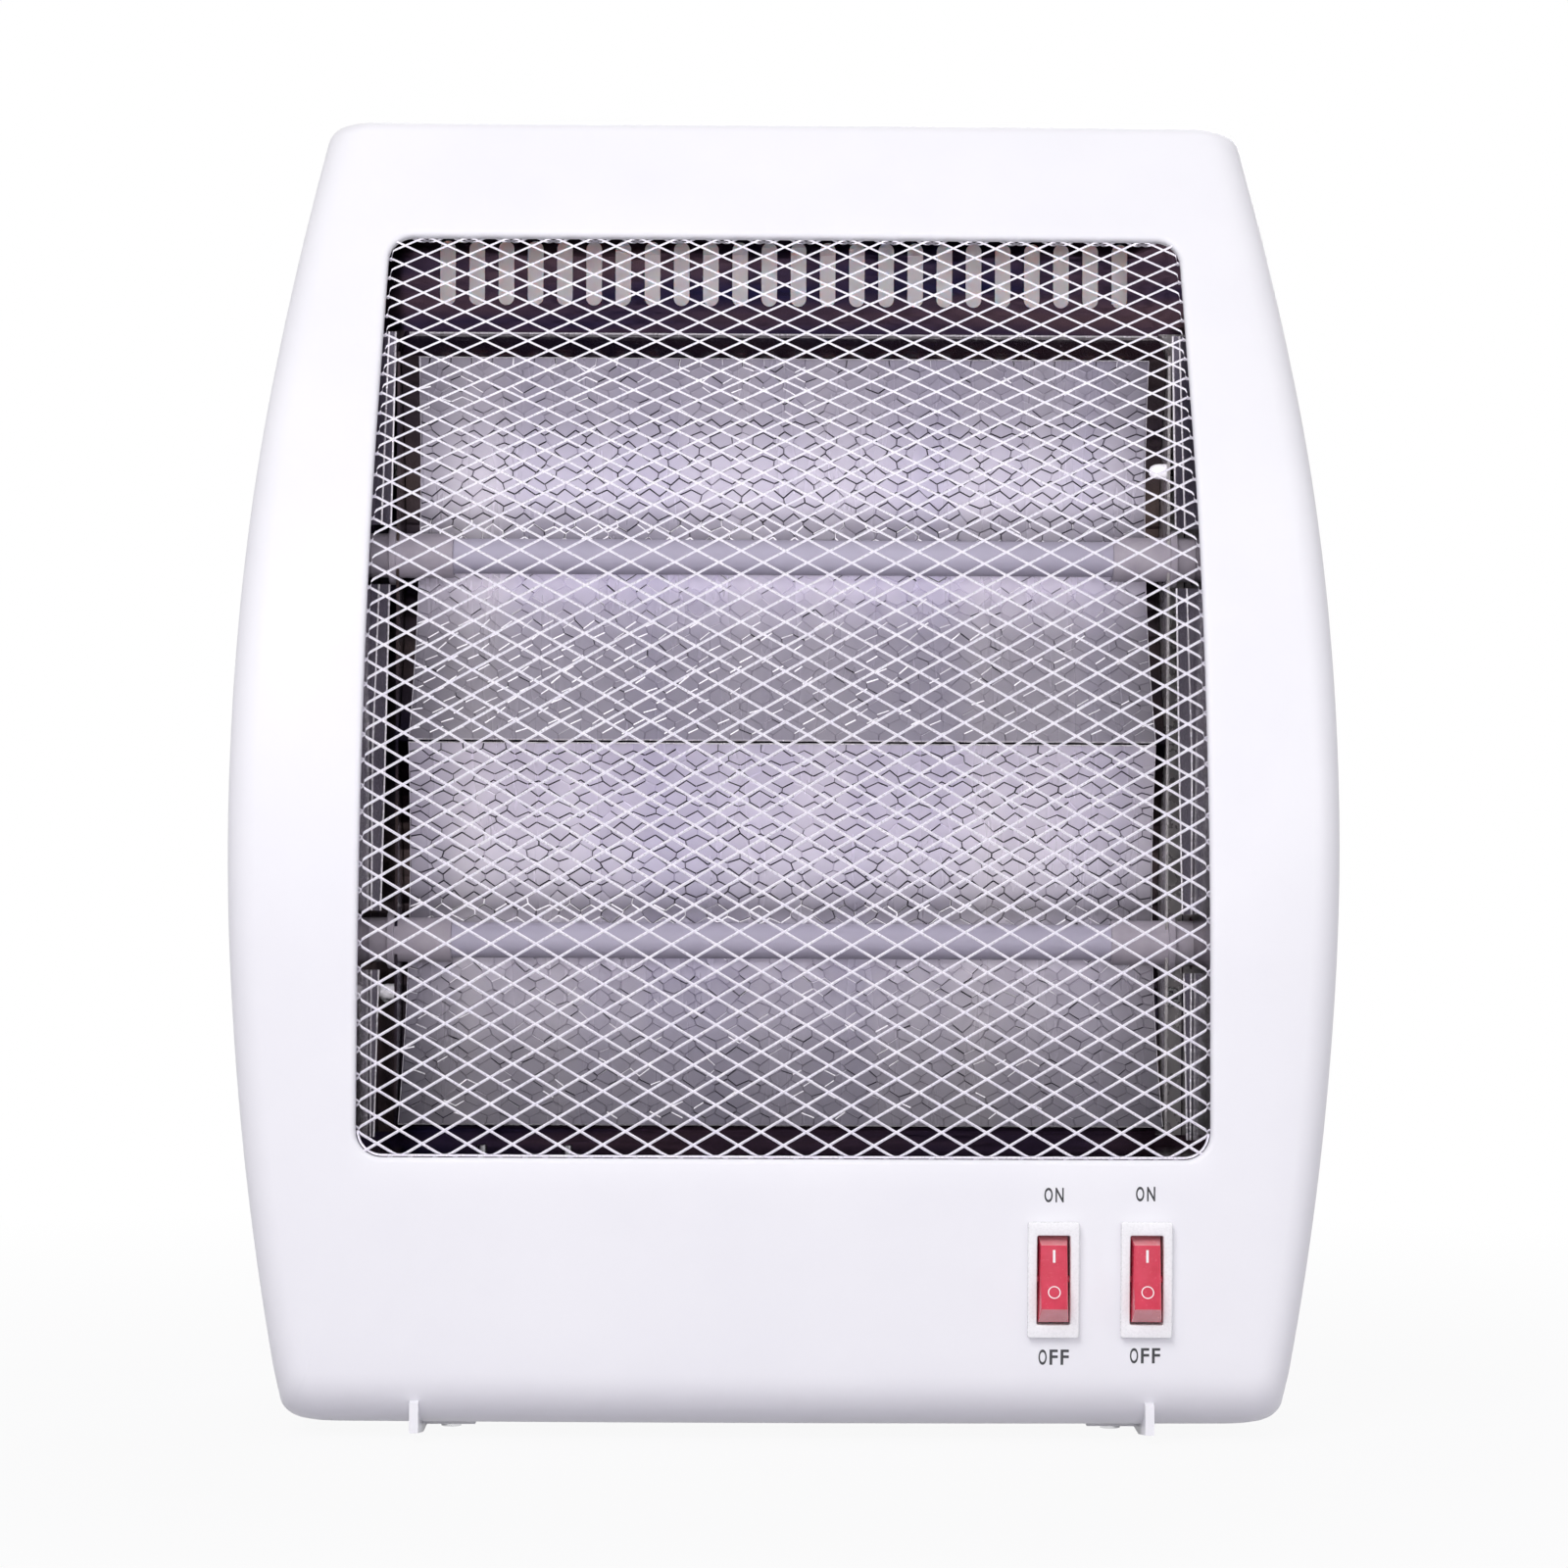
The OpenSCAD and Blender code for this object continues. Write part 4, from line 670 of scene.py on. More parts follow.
# A point of the front's curve: u runs along it from where the lean starts, t lies inside it.
def curveAt(u, t):
    if u <= 0:
        z = leanZ + u
        return lowOff(z) + t, z
    if u < leanLength:
        a = u / leanRadius
        return (leanRadius - (leanRadius - t) * cos(a),
                leanZ + (leanRadius - t) * sin(a))
    v = u - leanLength
    return (leanOff + v * sin(lean) + t * cos(lean),
            leanTopZ + v * cos(lean) - t * sin(lean))


# Distance run and depth gained, s along the sheet from where it starts to fold back.
def foldStep(s):
    radius = guard["foldRadius"]
    drop = guard["rim"] - guard["field"]
    quarter = radius * pi / 2
    straight = max(drop - 2 * radius, 0)
    if s <= 0:
        return s, 0
    if s < quarter:
        return radius * sin(s / radius), radius * (1 - cos(s / radius))
    if s < quarter + straight:
        return radius, radius + s - quarter
    if s < 2 * quarter + straight:
        a = (s - quarter - straight) / radius
        return radius + radius * (1 - cos(a)), radius + straight + radius * sin(a)
    return 2 * radius + s - 2 * quarter - straight, drop


def windowHalf(share):
    return mix(shell["windowLow"], shell["windowHigh"], share)


def nearFold(x, u):
    half = windowHalf((u - windowU0) / (windowU1 - windowU0))
    folds = (abs(x) - half + fold, u - windowU0 - fold, u - windowU1 + fold)
    return any(abs(distance) < guard["bendZone"] for distance in folds)


def makeMeshGuard():
    bm = bmesh.new()
    bmesh.ops.create_grid(bm, x_segments=guard["columns"], y_segments=guard["rows"], size=1)
    width = guard["columns"] * guard["pitchX"]
    height = guard["rows"] * guard["pitchU"]
    middleU = (windowU0 + windowU1) / 2
    for vert in bm.verts:
        vert.co = Vector((vert.co.x * width / 2, vert.co.y * height / 2 + middleU, 0))
    old = list(bm.edges)
    bmesh.ops.poke(bm, faces=bm.faces)
    bmesh.ops.dissolve_edges(bm, edges=[e for e in old if e.is_valid and not e.is_boundary])
    # Trim the sheet to the strip that the clips hold
    radius = guard["foldRadius"]
    extra = radius * pi + guard["rim"] - guard["field"] - 2 * radius - 2 * radius
    farX = guard["halfWidth"] + extra
    farU = (windowU0 - guard["reachU"] - extra, windowU1 + guard["reachU"] + extra)
    for place, normal in (((farX, 0, 0), (1, 0, 0)), ((-farX, 0, 0), (-1, 0, 0)),
                          ((0, farU[1], 0), (0, 1, 0)), ((0, farU[0], 0), (0, -1, 0))):
        bmesh.ops.bisect_plane(bm, geom=bm.verts[:] + bm.edges[:] + bm.faces[:], dist=0.01,
                               plane_co=place, plane_no=normal, clear_outer=True)
    bending = [e for e in bm.edges if any(nearFold(v.co.x, v.co.y) for v in e.verts)]
    bmesh.ops.bisect_edges(bm, edges=bending, cuts=guard["edgeCuts"])
    for vert in bm.verts:
        vert.co.z = 0
    bmesh.ops.wireframe(bm, faces=bm.faces, thickness=guard["wire"], offset=0, use_replace=True,
                        use_boundary=True, use_even_offset=True)
    for vert in bm.verts:
        x, u, lift = vert.co
        startX = windowHalf(clamp((u - windowU0) / (windowU1 - windowU0))) - fold
        run, deep = foldStep(abs(x) - startX)
        x = copysign(startX + run, x)
        more = 0
        if u > windowU1 - fold:
            run, more = foldStep(u - windowU1 + fold)
            u = windowU1 - fold + run
        elif u < windowU0 + fold:
            run, more = foldStep(windowU0 + fold - u)
            u = windowU0 + fold - run
        off, z = curveAt(u, guard["field"] + max(deep, more) + lift)
        vert.co = Vector((x, frontY + off + crownAt(x), z))
    return bm


# The wire along the lower edge, which runs up a little at both corners.
def makeSelvage():
    bends, steps = guard["selvageBends"], guard["selvageSteps"]
    left, right = ([windowPoint(corner, k / bends, -guard["selvageInset"])
                    for k in range(bends + 1)] for corner in (2, 3))
    startX, startZ = left[-1]
    along = [(mix(startX, right[0][0], k / steps), startZ) for k in range(1, steps)]
    path = [Vector((x, frontY + lowOff(z) + crownAt(x) + guard["field"] + guard["selvageDeep"], z))
            for x, z in left + along + right]
    bm = bmesh.new()
    sweep(bm, path, guard["selvage"], 8)
    return bm


meshGuard = finishPiece(makeMeshGuard(), "meshGuard", "meshWire", "front_grille", sharp=50)
finishPiece(makeSelvage(), "meshSelvage", "meshWire", sharp=50)
print("mesh guard:", len(meshGuard.data.polygons), "faces")


# Hammered skins of the two troughs: staggered bricks drawn out into six-sided cells

hammered = {
    "halfLow": 108.2, "halfHigh": 103.2, "low": 78.5, "height": 109.0, "frontY": 9.4127,
    "depth": 22.0, "trim": 0.15, "cellsAcross": 35, "cellRows": 34, "jitter": 0.45, "zigzag": 3.6,
    "groove": 0.2, "raise": 0.26, "crown": 0.07, "lift": 0.16, "tilt": 0.035, "edge": 0.35,
    "lip": 0.3, "tuck": 0.4,
    # Zones end at a share of a trough's arc; each has its shares of walls in painted crease shade
    # and in painted glints
    "zones": (((0.52, "faint"), (0.575, "white"), (1, "crisp")),
              ((0.34, "dull"), (0.52, "faint"), (0.575, "white"), (0.83, "crisp"),
               (0.975, "faint"), (1, "white"))),
    "crisp": ((0.92, 0), (0.22, 0)), "dull": ((0, 0.75), (0, 0)), "dullFalling": (0.12, 0),
    "faint": ((0.16, 0.12), (0, 0)), "white": ((0.25, 0.75), (0.4, 0.3)),
    "glintLeft": 1.25, "glintFade": 0.5,
}


# Shares of one trough's arc length, as a table from which its height share is read.
def troughMap():
    half = hammered["height"] / 2 - hammered["trim"]
    table, length, steps = [(0.0, -1.0)], 0.0, 100
    for k in range(2 * steps):
        m = -1 + (k + 0.5) / steps
        length += hypot(half, 2 * hammered["depth"] * m) / steps
        table.append((length, -1 + (k + 1) / steps))
    return [(a / length, m) for a, m in table], length


# Half of the skin's width, at a height counted in troughs from the lowest edge.
def skinHalf(height):
    return mix(hammered["halfLow"], hammered["halfHigh"], height / 2)


def makeHammered(index, seed):
    rng = random.Random(seed)
    table, arc = troughMap()
    across, rows = 2 * hammered["cellsAcross"], hammered["cellRows"]
    stepArc = arc / rows
    bm = bmesh.new()
    bmesh.ops.create_grid(bm, x_segments=across, y_segments=rows, size=1)
    spot = {v: (round((v.co.x + 1) / 2 * across), round((v.co.y + 1) / 2 * rows)) for v in bm.verts}
    upright = [e for e in bm.edges
               if not e.is_boundary and spot[e.verts[0]][0] == spot[e.verts[1]][0]
               and (spot[e.verts[0]][0] + min(spot[v][1] for v in e.verts)) % 2]
    for vert in bm.verts:
        i, j = spot[vert]
        inside = 0 < i < across and 0 < j < rows
        zigzag = stepArc / hammered["zigzag"] * (-1 if (i + j) % 2 else 1) * inside
        loose = hammered["jitter"] * inside
        vert.co = Vector(((2 * i / across - 1) * skinHalf(index + j / rows)
                          + rng.uniform(-loose, loose),
                          j * stepArc + zigzag + rng.uniform(-loose, loose), 0))
    bmesh.ops.dissolve_edges(bm, edges=upright, use_verts=False)
    cells = list(bm.faces)
    walls = bmesh.ops.inset_individual(bm, faces=cells, thickness=hammered["groove"],
                                       use_even_offset=True)["faces"]
    for face in walls:                           # painted crease shade in the bright bands, painted glints elsewhere
        share = face.calc_center_median().y / arc
        start, end = max(((e.verts[0].co, e.verts[1].co) for e in face.edges),
                         key=lambda pair: (pair[0] - pair[1]).length)
        falling = (end.y - start.y) * (1 if end.x > start.x else -1) < 0
        lying = abs(end.x - start.x) > abs(end.y - start.y)
        zone = next(name for limit, name in hammered["zones"][index] if share <= limit)
        dark, bright = hammered[zone][0 if lying else 1]
        if zone == "dull" and falling:
            dark, bright = hammered["dullFalling"]
        # the painted glints thin out from left to right
        fade = hammered["glintFade"] * (start.x / hammered["halfLow"] + 1)
        bright *= hammered["glintLeft"] - fade
        luck = rng.random()
        face.material_index = 1 if luck < dark else 3 if luck < dark + bright else 0
    for cell in cells:                           # every cell is raised and leans its own way
        middle = cell.calc_center_median()
        leanX, leanY = (rng.uniform(-1, 1) * hammered["tilt"] for _ in range(2))
        for vert in cell.verts:
            vert.co.z = (hammered["raise"] + (vert.co.x - middle.x) * leanX
                         + (vert.co.y - middle.y) * leanY)
    for vert in bmesh.ops.poke(bm, faces=cells)["verts"]:
        vert.co.z += hammered["crown"]
    # The border rises, runs out a little and turns down; its new faces take the painted edge
    # highlight
    edges = [e for e in bm.edges if e.is_boundary]
    for shift, rise in ((0, hammered["lip"]), (hammered["edge"], hammered["lip"]),
                        (0, -hammered["lift"] - hammered["tuck"])):
        made = bmesh.ops.extrude_edge_only(bm, edges=edges)["geom"]
        edges = [item for item in made if isinstance(item, bmesh.types.BMEdge) and item.is_boundary]
        for item in made:
            if isinstance(item, bmesh.types.BMFace):
                item.material_index = 2
            if isinstance(item, bmesh.types.BMVert):
                item.co.z += rise
                if shift and abs(abs(item.co.x) - skinHalf(index + item.co.y / arc)) < 0.1:
                    item.co.x += copysign(shift * 0.5, item.co.x)
    middle = hammered["low"] + hammered["height"] * (index + 0.5)
    half = hammered["height"] / 2 - hammered["trim"]
    for vert in bm.verts:                        # bend the flat skin into its trough
        share = clamp(vert.co.y / arc)
        k = next((n for n in range(1, len(table)) if table[n][0] >= share), len(table) - 1)
        (a0, m0), (a1, m1) = table[k - 1], table[k]
        m = mix(m0, m1, (share - a0) / (a1 - a0))
        normal = Vector((0, -1, -2 * hammered["depth"] * m / half)).normalized()
        base = Vector((vert.co.x, hammered["frontY"] + hammered["depth"] * (1 - m * m),
                       middle + m * half))
        vert.co = base + normal * (hammered["lift"] + vert.co.z)
    return bm


for index, word in enumerate(("Lower", "Upper")):
    skin = finishPiece(makeHammered(index, 40 + index), "hammered" + word, "hammeredAluminium",
                       sharp=22)
    # extra looks: painted crease shade, painted edge highlight, painted glints
    addLooks(skin, "creaseShade", "brightEdge", "creaseGlint")
print("hammered skins done")


# Sheet-metal trim beside the troughs: flanges of the shield's sides, with thin swept rods along
# their edges as painted highlights

trim = {
    "y": (7.5, 8.3), "wall": 116.45, "inner": ((75.4, 114.9), (182.0, 112.2), (303.0, 109.75)),
    "line": ((75.4, 116.0), (182.0, 116.0), (303.0, 111.8)),
    "runs": ((75.4, 122.6), (139.4, 231.6), (248.4, 303.0)),
    "bead": 0.3, "sunk": 0.05, "ridgeZ": 305.75, "ridgeY": 36.6, "ridgeHalf": 108.3, "steps": 6,
}


def alongLine(points, z):
    for (z0, x0), (z1, x1) in zip(points, points[1:]):
        if z <= z1:
            return mix(x0, x1, (z - z0) / (z1 - z0))
    return points[-1][1]


for side, hand in ((-1, "Left"), (1, "Right")):
    strips, paintedHighlights = bmesh.new(), bmesh.new()
    front, back = trim["y"]
    for low, high in trim["runs"]:
        zs = [mix(low, high, k / trim["steps"]) for k in range(trim["steps"] + 1)]
        rings = []
        for z in zs:
            near, wall = side * alongLine(trim["inner"], z), side * trim["wall"]
            rings.append([Vector(corner) for corner in ((near, front, z), (wall, front, z),
                                                        (wall, back, z), (near, back, z))])
        loftRings(strips, rings, True)
        for line, offset in (("inner", trim["bead"] * 0.6), ("line", 0)):
            sweep(paintedHighlights, [Vector((side * (alongLine(trim[line], z) + offset),
                                  front - trim["sunk"], z)) for z in zs], trim["bead"])
    finishPiece(strips, "shieldFlange" + hand, "dullAluminium")
    finishPiece(paintedHighlights, "flangeEdge" + hand, "brightEdge", sharp=60)
# A thin swept rod along the top of the reflector, as a painted highlight
bm = bmesh.new()
sweep(bm, [Vector((x * trim["ridgeHalf"], trim["ridgeY"], trim["ridgeZ"]))
           for x in (-1, -0.5, 0, 0.5, 1)], trim["bead"])
finishPiece(bm, "reflectorEdge", "brightEdge", sharp=60)

# Two screw heads on the end plates, painted near-white as highlights: one outside the left plate,
# one inside the right plate
sideScrews = {
    "radius": 2.2, "height": 5.4, "y": 12.5, "places": ((-109.3, 116.3, -1), (109.1, 265.0, -1)),
    "head": ((0, 0), (0, 1), (0.45, 1), (0.7, 0.9), (0.88, 0.66), (0.97, 0.35), (1, 0)),
}
bm = bmesh.new()
for x, z, out in sideScrews["places"]:
    turn(bm, [(high * sideScrews["height"], wide * sideScrews["radius"])
              for high, wide in sideScrews["head"]], (x, sideScrews["y"], z), (out, 0, 0), 28)
finishPiece(bm, "sideScrews", "creaseGlint")
print("sheet-metal trim done")


# Tubes, coils and ceramic caps

heating = {
    "tubeY": 13.4127, "tubeZ": (131.0, 240.0), "tubeHalf": 100.0, "outer": 5.0, "inner": 4.0,
    "tubeEdge": 0.3, "coilHalf": 95.0, "coilRadius": 2.9, "wire": 0.32, "coilPitch": 2.2,
    "stepsPerTurn": 14, "leadX": 97.5, "leadHalf": 3.4, "leadRadius": 0.95, "capRadius": 6.3,
    "capStart": 93.5, "capEnd": 120.0, "socket": 5.05, "socketDepth": 6.6,
    "flange": (109.6, 111.7, 8.3), "bore": 1.65,
}


def makeTube(y, z):
    half, edge = heating["tubeHalf"], heating["tubeEdge"]
    inner, outer = heating["inner"], heating["outer"]
    bm = bmesh.new()
    turn(bm, [(-half, inner), (-half, outer - edge), (-half + edge, outer), (half - edge, outer),
              (half, outer - edge), (half, inner), (-half, inner)], (0, y, z), (1, 0, 0), 56)
    return bm


def makeCoil(y, z):
    half, lead = heating["coilHalf"], heating["leadHalf"]
    bm = bmesh.new()
    wind(bm, (-half, y, z + heating["coilRadius"]), heating["wire"], 6, (0, y, z), (1, 0, 0),
         (2 * half, 0, 0), int(2 * half / heating["coilPitch"]), heating["stepsPerTurn"])
    for side in (-1, 1):                         # straight leads into the caps
        turnRod(bm, -lead, lead, heating["leadRadius"], (side * heating["leadX"], y, z),
                (1, 0, 0), 16)
    return bm


def makeCap(y, z, side):
    near, far, wide = heating["flange"]
    start, end, r = heating["capStart"], heating["capEnd"], heating["capRadius"]
    socket, bore, floor = heating["socket"], heating["bore"], start + heating["socketDepth"]
    bm = bmesh.new()
    turn(bm, [(floor, socket), (start + 0.4, socket), (start, socket + 0.35), (start, r - 0.55),
              (start + 0.16, r - 0.16), (start + 0.55, r), (near, r), (near, wide - 0.3),
              (near + 0.3, wide), (far - 0.3, wide), (far, wide - 0.3), (far, r), (end - 0.5, r),
              (end - 0.15, r - 0.15), (end, r - 0.5), (end, bore), (floor, bore), (floor, socket)],
         (0, y, z), (side, 0, 0), 48)
    return bm


for word, z in zip(("lower", "upper"), heating["tubeZ"]):
    y = heating["tubeY"]
    finishNode(makeTube(y, z), "quartz_tube_" + word, "frostedQuartz")
    finishNode(makeCoil(y, z), "heating_coil_" + word, "resistanceWire", sharp=60)
    for side, hand in ((-1, "left"), (1, "right")):
        finishNode(makeCap(y, z, side), "ceramic_cap_%s_%s" % (word, hand), "whiteCeramic")
print("tubes, coils and caps done")


# Switches: bezels, rockers, lettering

switch = {
    "bezel": (6.8, 15.4, 1.8), "panel": (5.9, 14.3, 0.5), "depth": 20.0,
    "cavity": (4.4, 11.9, 14.0), "cavityCorners": (0.3, 0.5), "innerEdge": 0.35,
    "corner": 0.6, "edge": 0.3, "gapLine": 0.3, "pivot": 1.2, "swing": 12.0, "rockerHalf": 4.1,
    "profile": ((11.6, 0.5), (8.5, 6.0), (0, 4.6), (-8.5, 6.0), (-11.6, 0.5), (-9, -2.4),
                (-2.5, -2.4), (-1.2, -6), (1.2, -6), (2.5, -2.4), (9, -2.4)),
    "narrowing": 0.62, "narrowFrom": 0.4, "narrowOver": 5.6, "rockerEdge": 0.38, "pin": (5.3, 1),
    "dip": 4.6, "rise": 1.4, "noseV": 8.5, "strokeI": (0.33, 1.65, 0.1), "ringO": (1.42, 1.68),
    "middles": {"I": 5.6, "O": -3.9}, "markOut": 0.05, "markIn": 0.15,
}


def makeHousing(index):
    bx, bz, thick = switch["bezel"]
    cx, cz, deep = switch["cavity"]
    px, pz, panelCorner = switch["panel"]
    edge, corner, gap = switch["edge"], switch["corner"], switch["gapLine"]
    innerEdge = switch["innerEdge"]
    cornerDeep, cornerFace = switch["cavityCorners"]
    loops = [roundedLoop(cx, cz, cornerDeep, deep)]
    for k in range(4):                           # inner edge, then outer edge, each in three steps
        a = rad(30 * k)
        grow = innerEdge * (1 - cos(a))
        loops.append(roundedLoop(cx + grow, cz + grow, cornerFace,
                                 -thick + innerEdge * (1 - sin(a))))
    for k in range(4):
        a = rad(30 * k)
        shrink = edge * (1 - sin(a))
        loops.append(roundedLoop(bx - shrink, bz - shrink, corner, -thick + edge * (1 - cos(a))))
    # The fine dark line where the bezel meets the panel
    loops += [roundedLoop(bx, bz, corner, -gap), roundedLoop(bx - gap, bz - gap, corner, -gap),
              roundedLoop(bx - gap, bz - gap, corner, 0), roundedLoop(px, pz, panelCorner, 0),
              roundedLoop(px, pz, panelCorner, switch["depth"])]
    place = switchFrame(index)
    bm = bmesh.new()
    loftRings(bm, [[place @ p for p in loop] for loop in loops], True)
    return bm


def rockerFrame(index):
    return (switchFrame(index) @ Matrix.Translation((0, switch["pivot"], 0))
            @ Matrix.Rotation(rad(-switch["swing"]), 4, "X"))


def makeRocker(index):
    half = switch["rockerHalf"]
    bm = bmesh.new()
    face = bm.faces.new([bm.verts.new((-half, -h, v)) for v, h in switch["profile"]])
    made = bmesh.ops.extrude_face_region(bm, geom=[face])["geom"]
    bmesh.ops.translate(bm, vec=(2 * half, 0, 0),
                        verts=[item for item in made if isinstance(item, bmesh.types.BMVert)])
    for vert in bm.verts:                        # the sides narrow a little towards the face
        share = clamp((-vert.co.y - switch["narrowFrom"]) / switch["narrowOver"])
        vert.co.x -= copysign(switch["narrowing"] * share, vert.co.x)
    bmesh.ops.recalc_face_normals(bm, faces=bm.faces)
    for face in bm.faces:                        # the two noses take the paler copy of the red: painted light
        if abs(face.normal.z) > 0.6 and face.calc_center_median().y < -1:
            face.material_index = 1
    outer = [e for e in bm.edges if all(-v.co.y > 0 for v in e.verts)
             and not (abs(e.verts[0].co.z) < 0.1 and abs(e.verts[1].co.z) < 0.1)]
    bmesh.ops.bevel(bm, geom=outer, offset=switch["rockerEdge"], offset_type="OFFSET", segments=4,
                    profile=0.5, affect="EDGES", material=-1, clamp_overlap=True)
    reach, radius = switch["pin"]
    turnRod(bm, -reach, reach, radius, (0, 0, 0), (1, 0, 0), 24)
    bmesh.ops.transform(bm, matrix=rockerFrame(index), verts=bm.verts)
    return bm


# The I or the O of a rocker, laid on its face.
def makeMark(index, kind):
    bm = bmesh.new()
    if kind == "I":
        loftRings(bm, [roundedLoop(*switch["strokeI"], y, 3) for y in (0, -1)], True)
    else:
        inner, outer = switch["ringO"]
        turn(bm, [(0, inner), (1, inner), (1, outer), (0, outer), (0, inner)],
             (0, 0, 0), (0, -1, 0), 40)
    for vert in bm.verts:
        v = vert.co.z + switch["middles"][kind]
        out = switch["markOut"] if vert.co.y < -0.5 else -switch["markIn"]
        face = switch["dip"] + switch["rise"] * abs(v) / switch["noseV"]
        vert.co = Vector((vert.co.x, -(face + out), v))
    bmesh.ops.transform(bm, matrix=rockerFrame(index), verts=bm.verts)
    return bm


for index, hand in enumerate(("left", "right")):
    finishNode(makeHousing(index), "switch_housing_" + hand, "switchPlastic")
    rocker = finishNode(makeRocker(index), "rocker_" + hand, "rockerRed", rides="rocker_" + hand)
    addLooks(rocker, "rockerNose")
    for kind in ("I", "O"):
        finishPiece(makeMark(index, kind), "rockerMark" + kind + hand.title(), "markWhite",
                    rides="rocker_" + hand, sharp=30)

lettering = {
    "words": (("ON", 72.0, 66.8, 3.9), ("ON", 96.4, 67.1, 3.9), ("OFF", 72.2, 23.5, 4.1),
              ("OFF", 96.6, 23.9, 4.1)),
    "letterWidth": 2.2, "pitch": 2.95, "stroke": 0.018, "proud": 0.035, "sunk": 0.05,
}


# A letter as a thin plate, 1 wide and 1 high about its middle.
def letterShape(letter):
    curve = bpy.data.curves.new("letter", "FONT")
    curve.body = letter
    curve.offset = lettering["stroke"]
    curve.extrude = 0.01
    curve.resolution_u = 8
    text = bpy.data.objects.new("letter", curve)
    scene.collection.objects.link(text)
    bpy.context.view_layer.update()
    bm = bmesh.new()
    bm.from_mesh(evaluatedMesh(text))
    bpy.data.objects.remove(text)
    xs = [v.co.x for v in bm.verts]
    ys = [v.co.y for v in bm.verts]
    for vert in bm.verts:
        vert.co.x = (vert.co.x - min(xs)) / (max(xs) - min(xs)) - 0.5
        vert.co.y = (vert.co.y - min(ys)) / (max(ys) - min(ys)) - 0.5
    bmesh.ops.remove_doubles(bm, verts=bm.verts, dist=0.0001)
    return bm


for number, (word, x, z, height) in enumerate(lettering["words"]):
    whole = bmesh.new()
    for k, letter in enumerate(word):
        bm = letterShape(letter)
        middle = x + (k - (len(word) - 1) / 2) * lettering["pitch"]
        for vert in bm.verts:
            px = middle + vert.co.x * lettering["letterWidth"]
            pz = z + vert.co.y * height
            out = lettering["proud"] if vert.co.z > 0 else -lettering["sunk"]
            vert.co = Vector((px, skinY(px, pz) - out, pz))
        plate = bpy.data.meshes.new("letter")
        bm.to_mesh(plate)
        bm.free()
        whole.from_mesh(plate)
    finishPiece(whole, "print%s%d" % (word.title(), number), "printInk", sharp=30)
print("switches and lettering done")


# Tip-over switch

spring = {
    "x": -30.0, "y": 5.0, "start": 16.55, "end": 37.5, "radius": 4.55, "wire": 0.5, "turns": 7,
    "steps": 24,
}
bm = bmesh.new()
wind(bm, (spring["x"] + spring["radius"], spring["y"], spring["start"] + spring["wire"]),
     spring["wire"], 10, (spring["x"], spring["y"], 0), (0, 0, 1),
     (0, 0, spring["end"] - spring["start"] - 2 * spring["wire"]), spring["turns"], spring["steps"])
tipSpring = finishNode(bm, "tip_spring", "springSteel", rides=None)
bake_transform(tipSpring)

# Its plunger: a round nose, the stem, the collar and the pin, as (height, radius)
plunger = {
    "profile": ((0.2, 0), (0.2, 2.4), (0.45, 3.2), (1.0, 3.72), (1.7, 3.95), (2.4, 4), (13.5, 4),
                (13.55, 6.0), (13.8, 6.25), (16.3, 6.25), (16.5, 6.05)),
    "collarTop": 16.5, "pin": 2.0, "pinEdge": 0.3,
}
_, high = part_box("tip_plunger")
top, pin, edge = high.z * 1000, plunger["pin"], plunger["pinEdge"]
bm = bmesh.new()
turn(bm, [*plunger["profile"], (plunger["collarTop"], pin), (top - edge, pin), (top, pin - edge),
          (top, 0)], (spring["x"], spring["y"], 0), (0, 0, 1), 40)
finishNode(bm, "tip_plunger", "greyPlastic", rides="tip_plunger")


# Gland for the mains lead

gland = {
    "x": 105.0, "z": 30.0, "back": 71.4127, "bore": 3.5, "neck": 6.0, "nut": 7.5, "flange": 8.5,
}
bm = bmesh.new()
b, n, nut, f = gland["bore"], gland["neck"], gland["nut"], gland["flange"]
turn(bm, [(-5.2, b), (-5.2, nut), (-2.3, nut), (-2.25, n), (0.05, n), (0.05, f), (1.2, f),
          (1.7, f - 0.25), (2.0, f - 0.7), (2.0, b + 0.7), (1.8, b + 0.25), (1.4, b), (-5.2, b)],
     (gland["x"], gland["back"], gland["z"]), (0, 1, 0), 48)
finishNode(bm, "cord_gland", "darkPlastic")


# Rigid pieces whose CAD shape is right: merged copies with softened edges of a width

# The left end plate takes painted shade and the right one painted light; the heat shield a painted
# dark reflection
refined = (
    ("heat_shield", "sheetAluminium", 0.12), ("end_plate_left", "burntAluminium", 0.12),
    ("end_plate_right", "paleAluminium", 0.12), ("shield_screws", "platedSteel", 0.22),
    ("case_screws", "platedSteel", 0.22), ("foot_screws", "platedSteel", 0.22),
    ("tip_switch_screws", "platedSteel", 0.22), ("foot_left", "casePlastic", 0.3),
    ("foot_right", "casePlastic", 0.3), ("tip_switch_housing", "greyPlastic", 0.25),
    ("microswitch", "darkPlastic", 0.15), ("terminal_block", "whiteNylon", 0.25),
    ("cord_clamp", "whiteNylon", 0.3), ("thermal_cutout", "tanPhenolic", 0.15),
)
shieldBack = 0.0379                              # metres; only the back wall lies behind it
for node, look, width in refined:
    piece = finishNode(mergedCopy(node), node, look, recalc=False, sharp=30)
    softEdges(piece, width, 35)
    if node == "heat_shield":                    # its rear faces keep plain polished aluminium; the rest is painted dark as a painted reflection
        addLooks(piece, "platePolish")
        for face in piece.data.polygons:
            if face.normal.y > 0.9 and face.center.y > shieldBack:
                face.material_index = 1

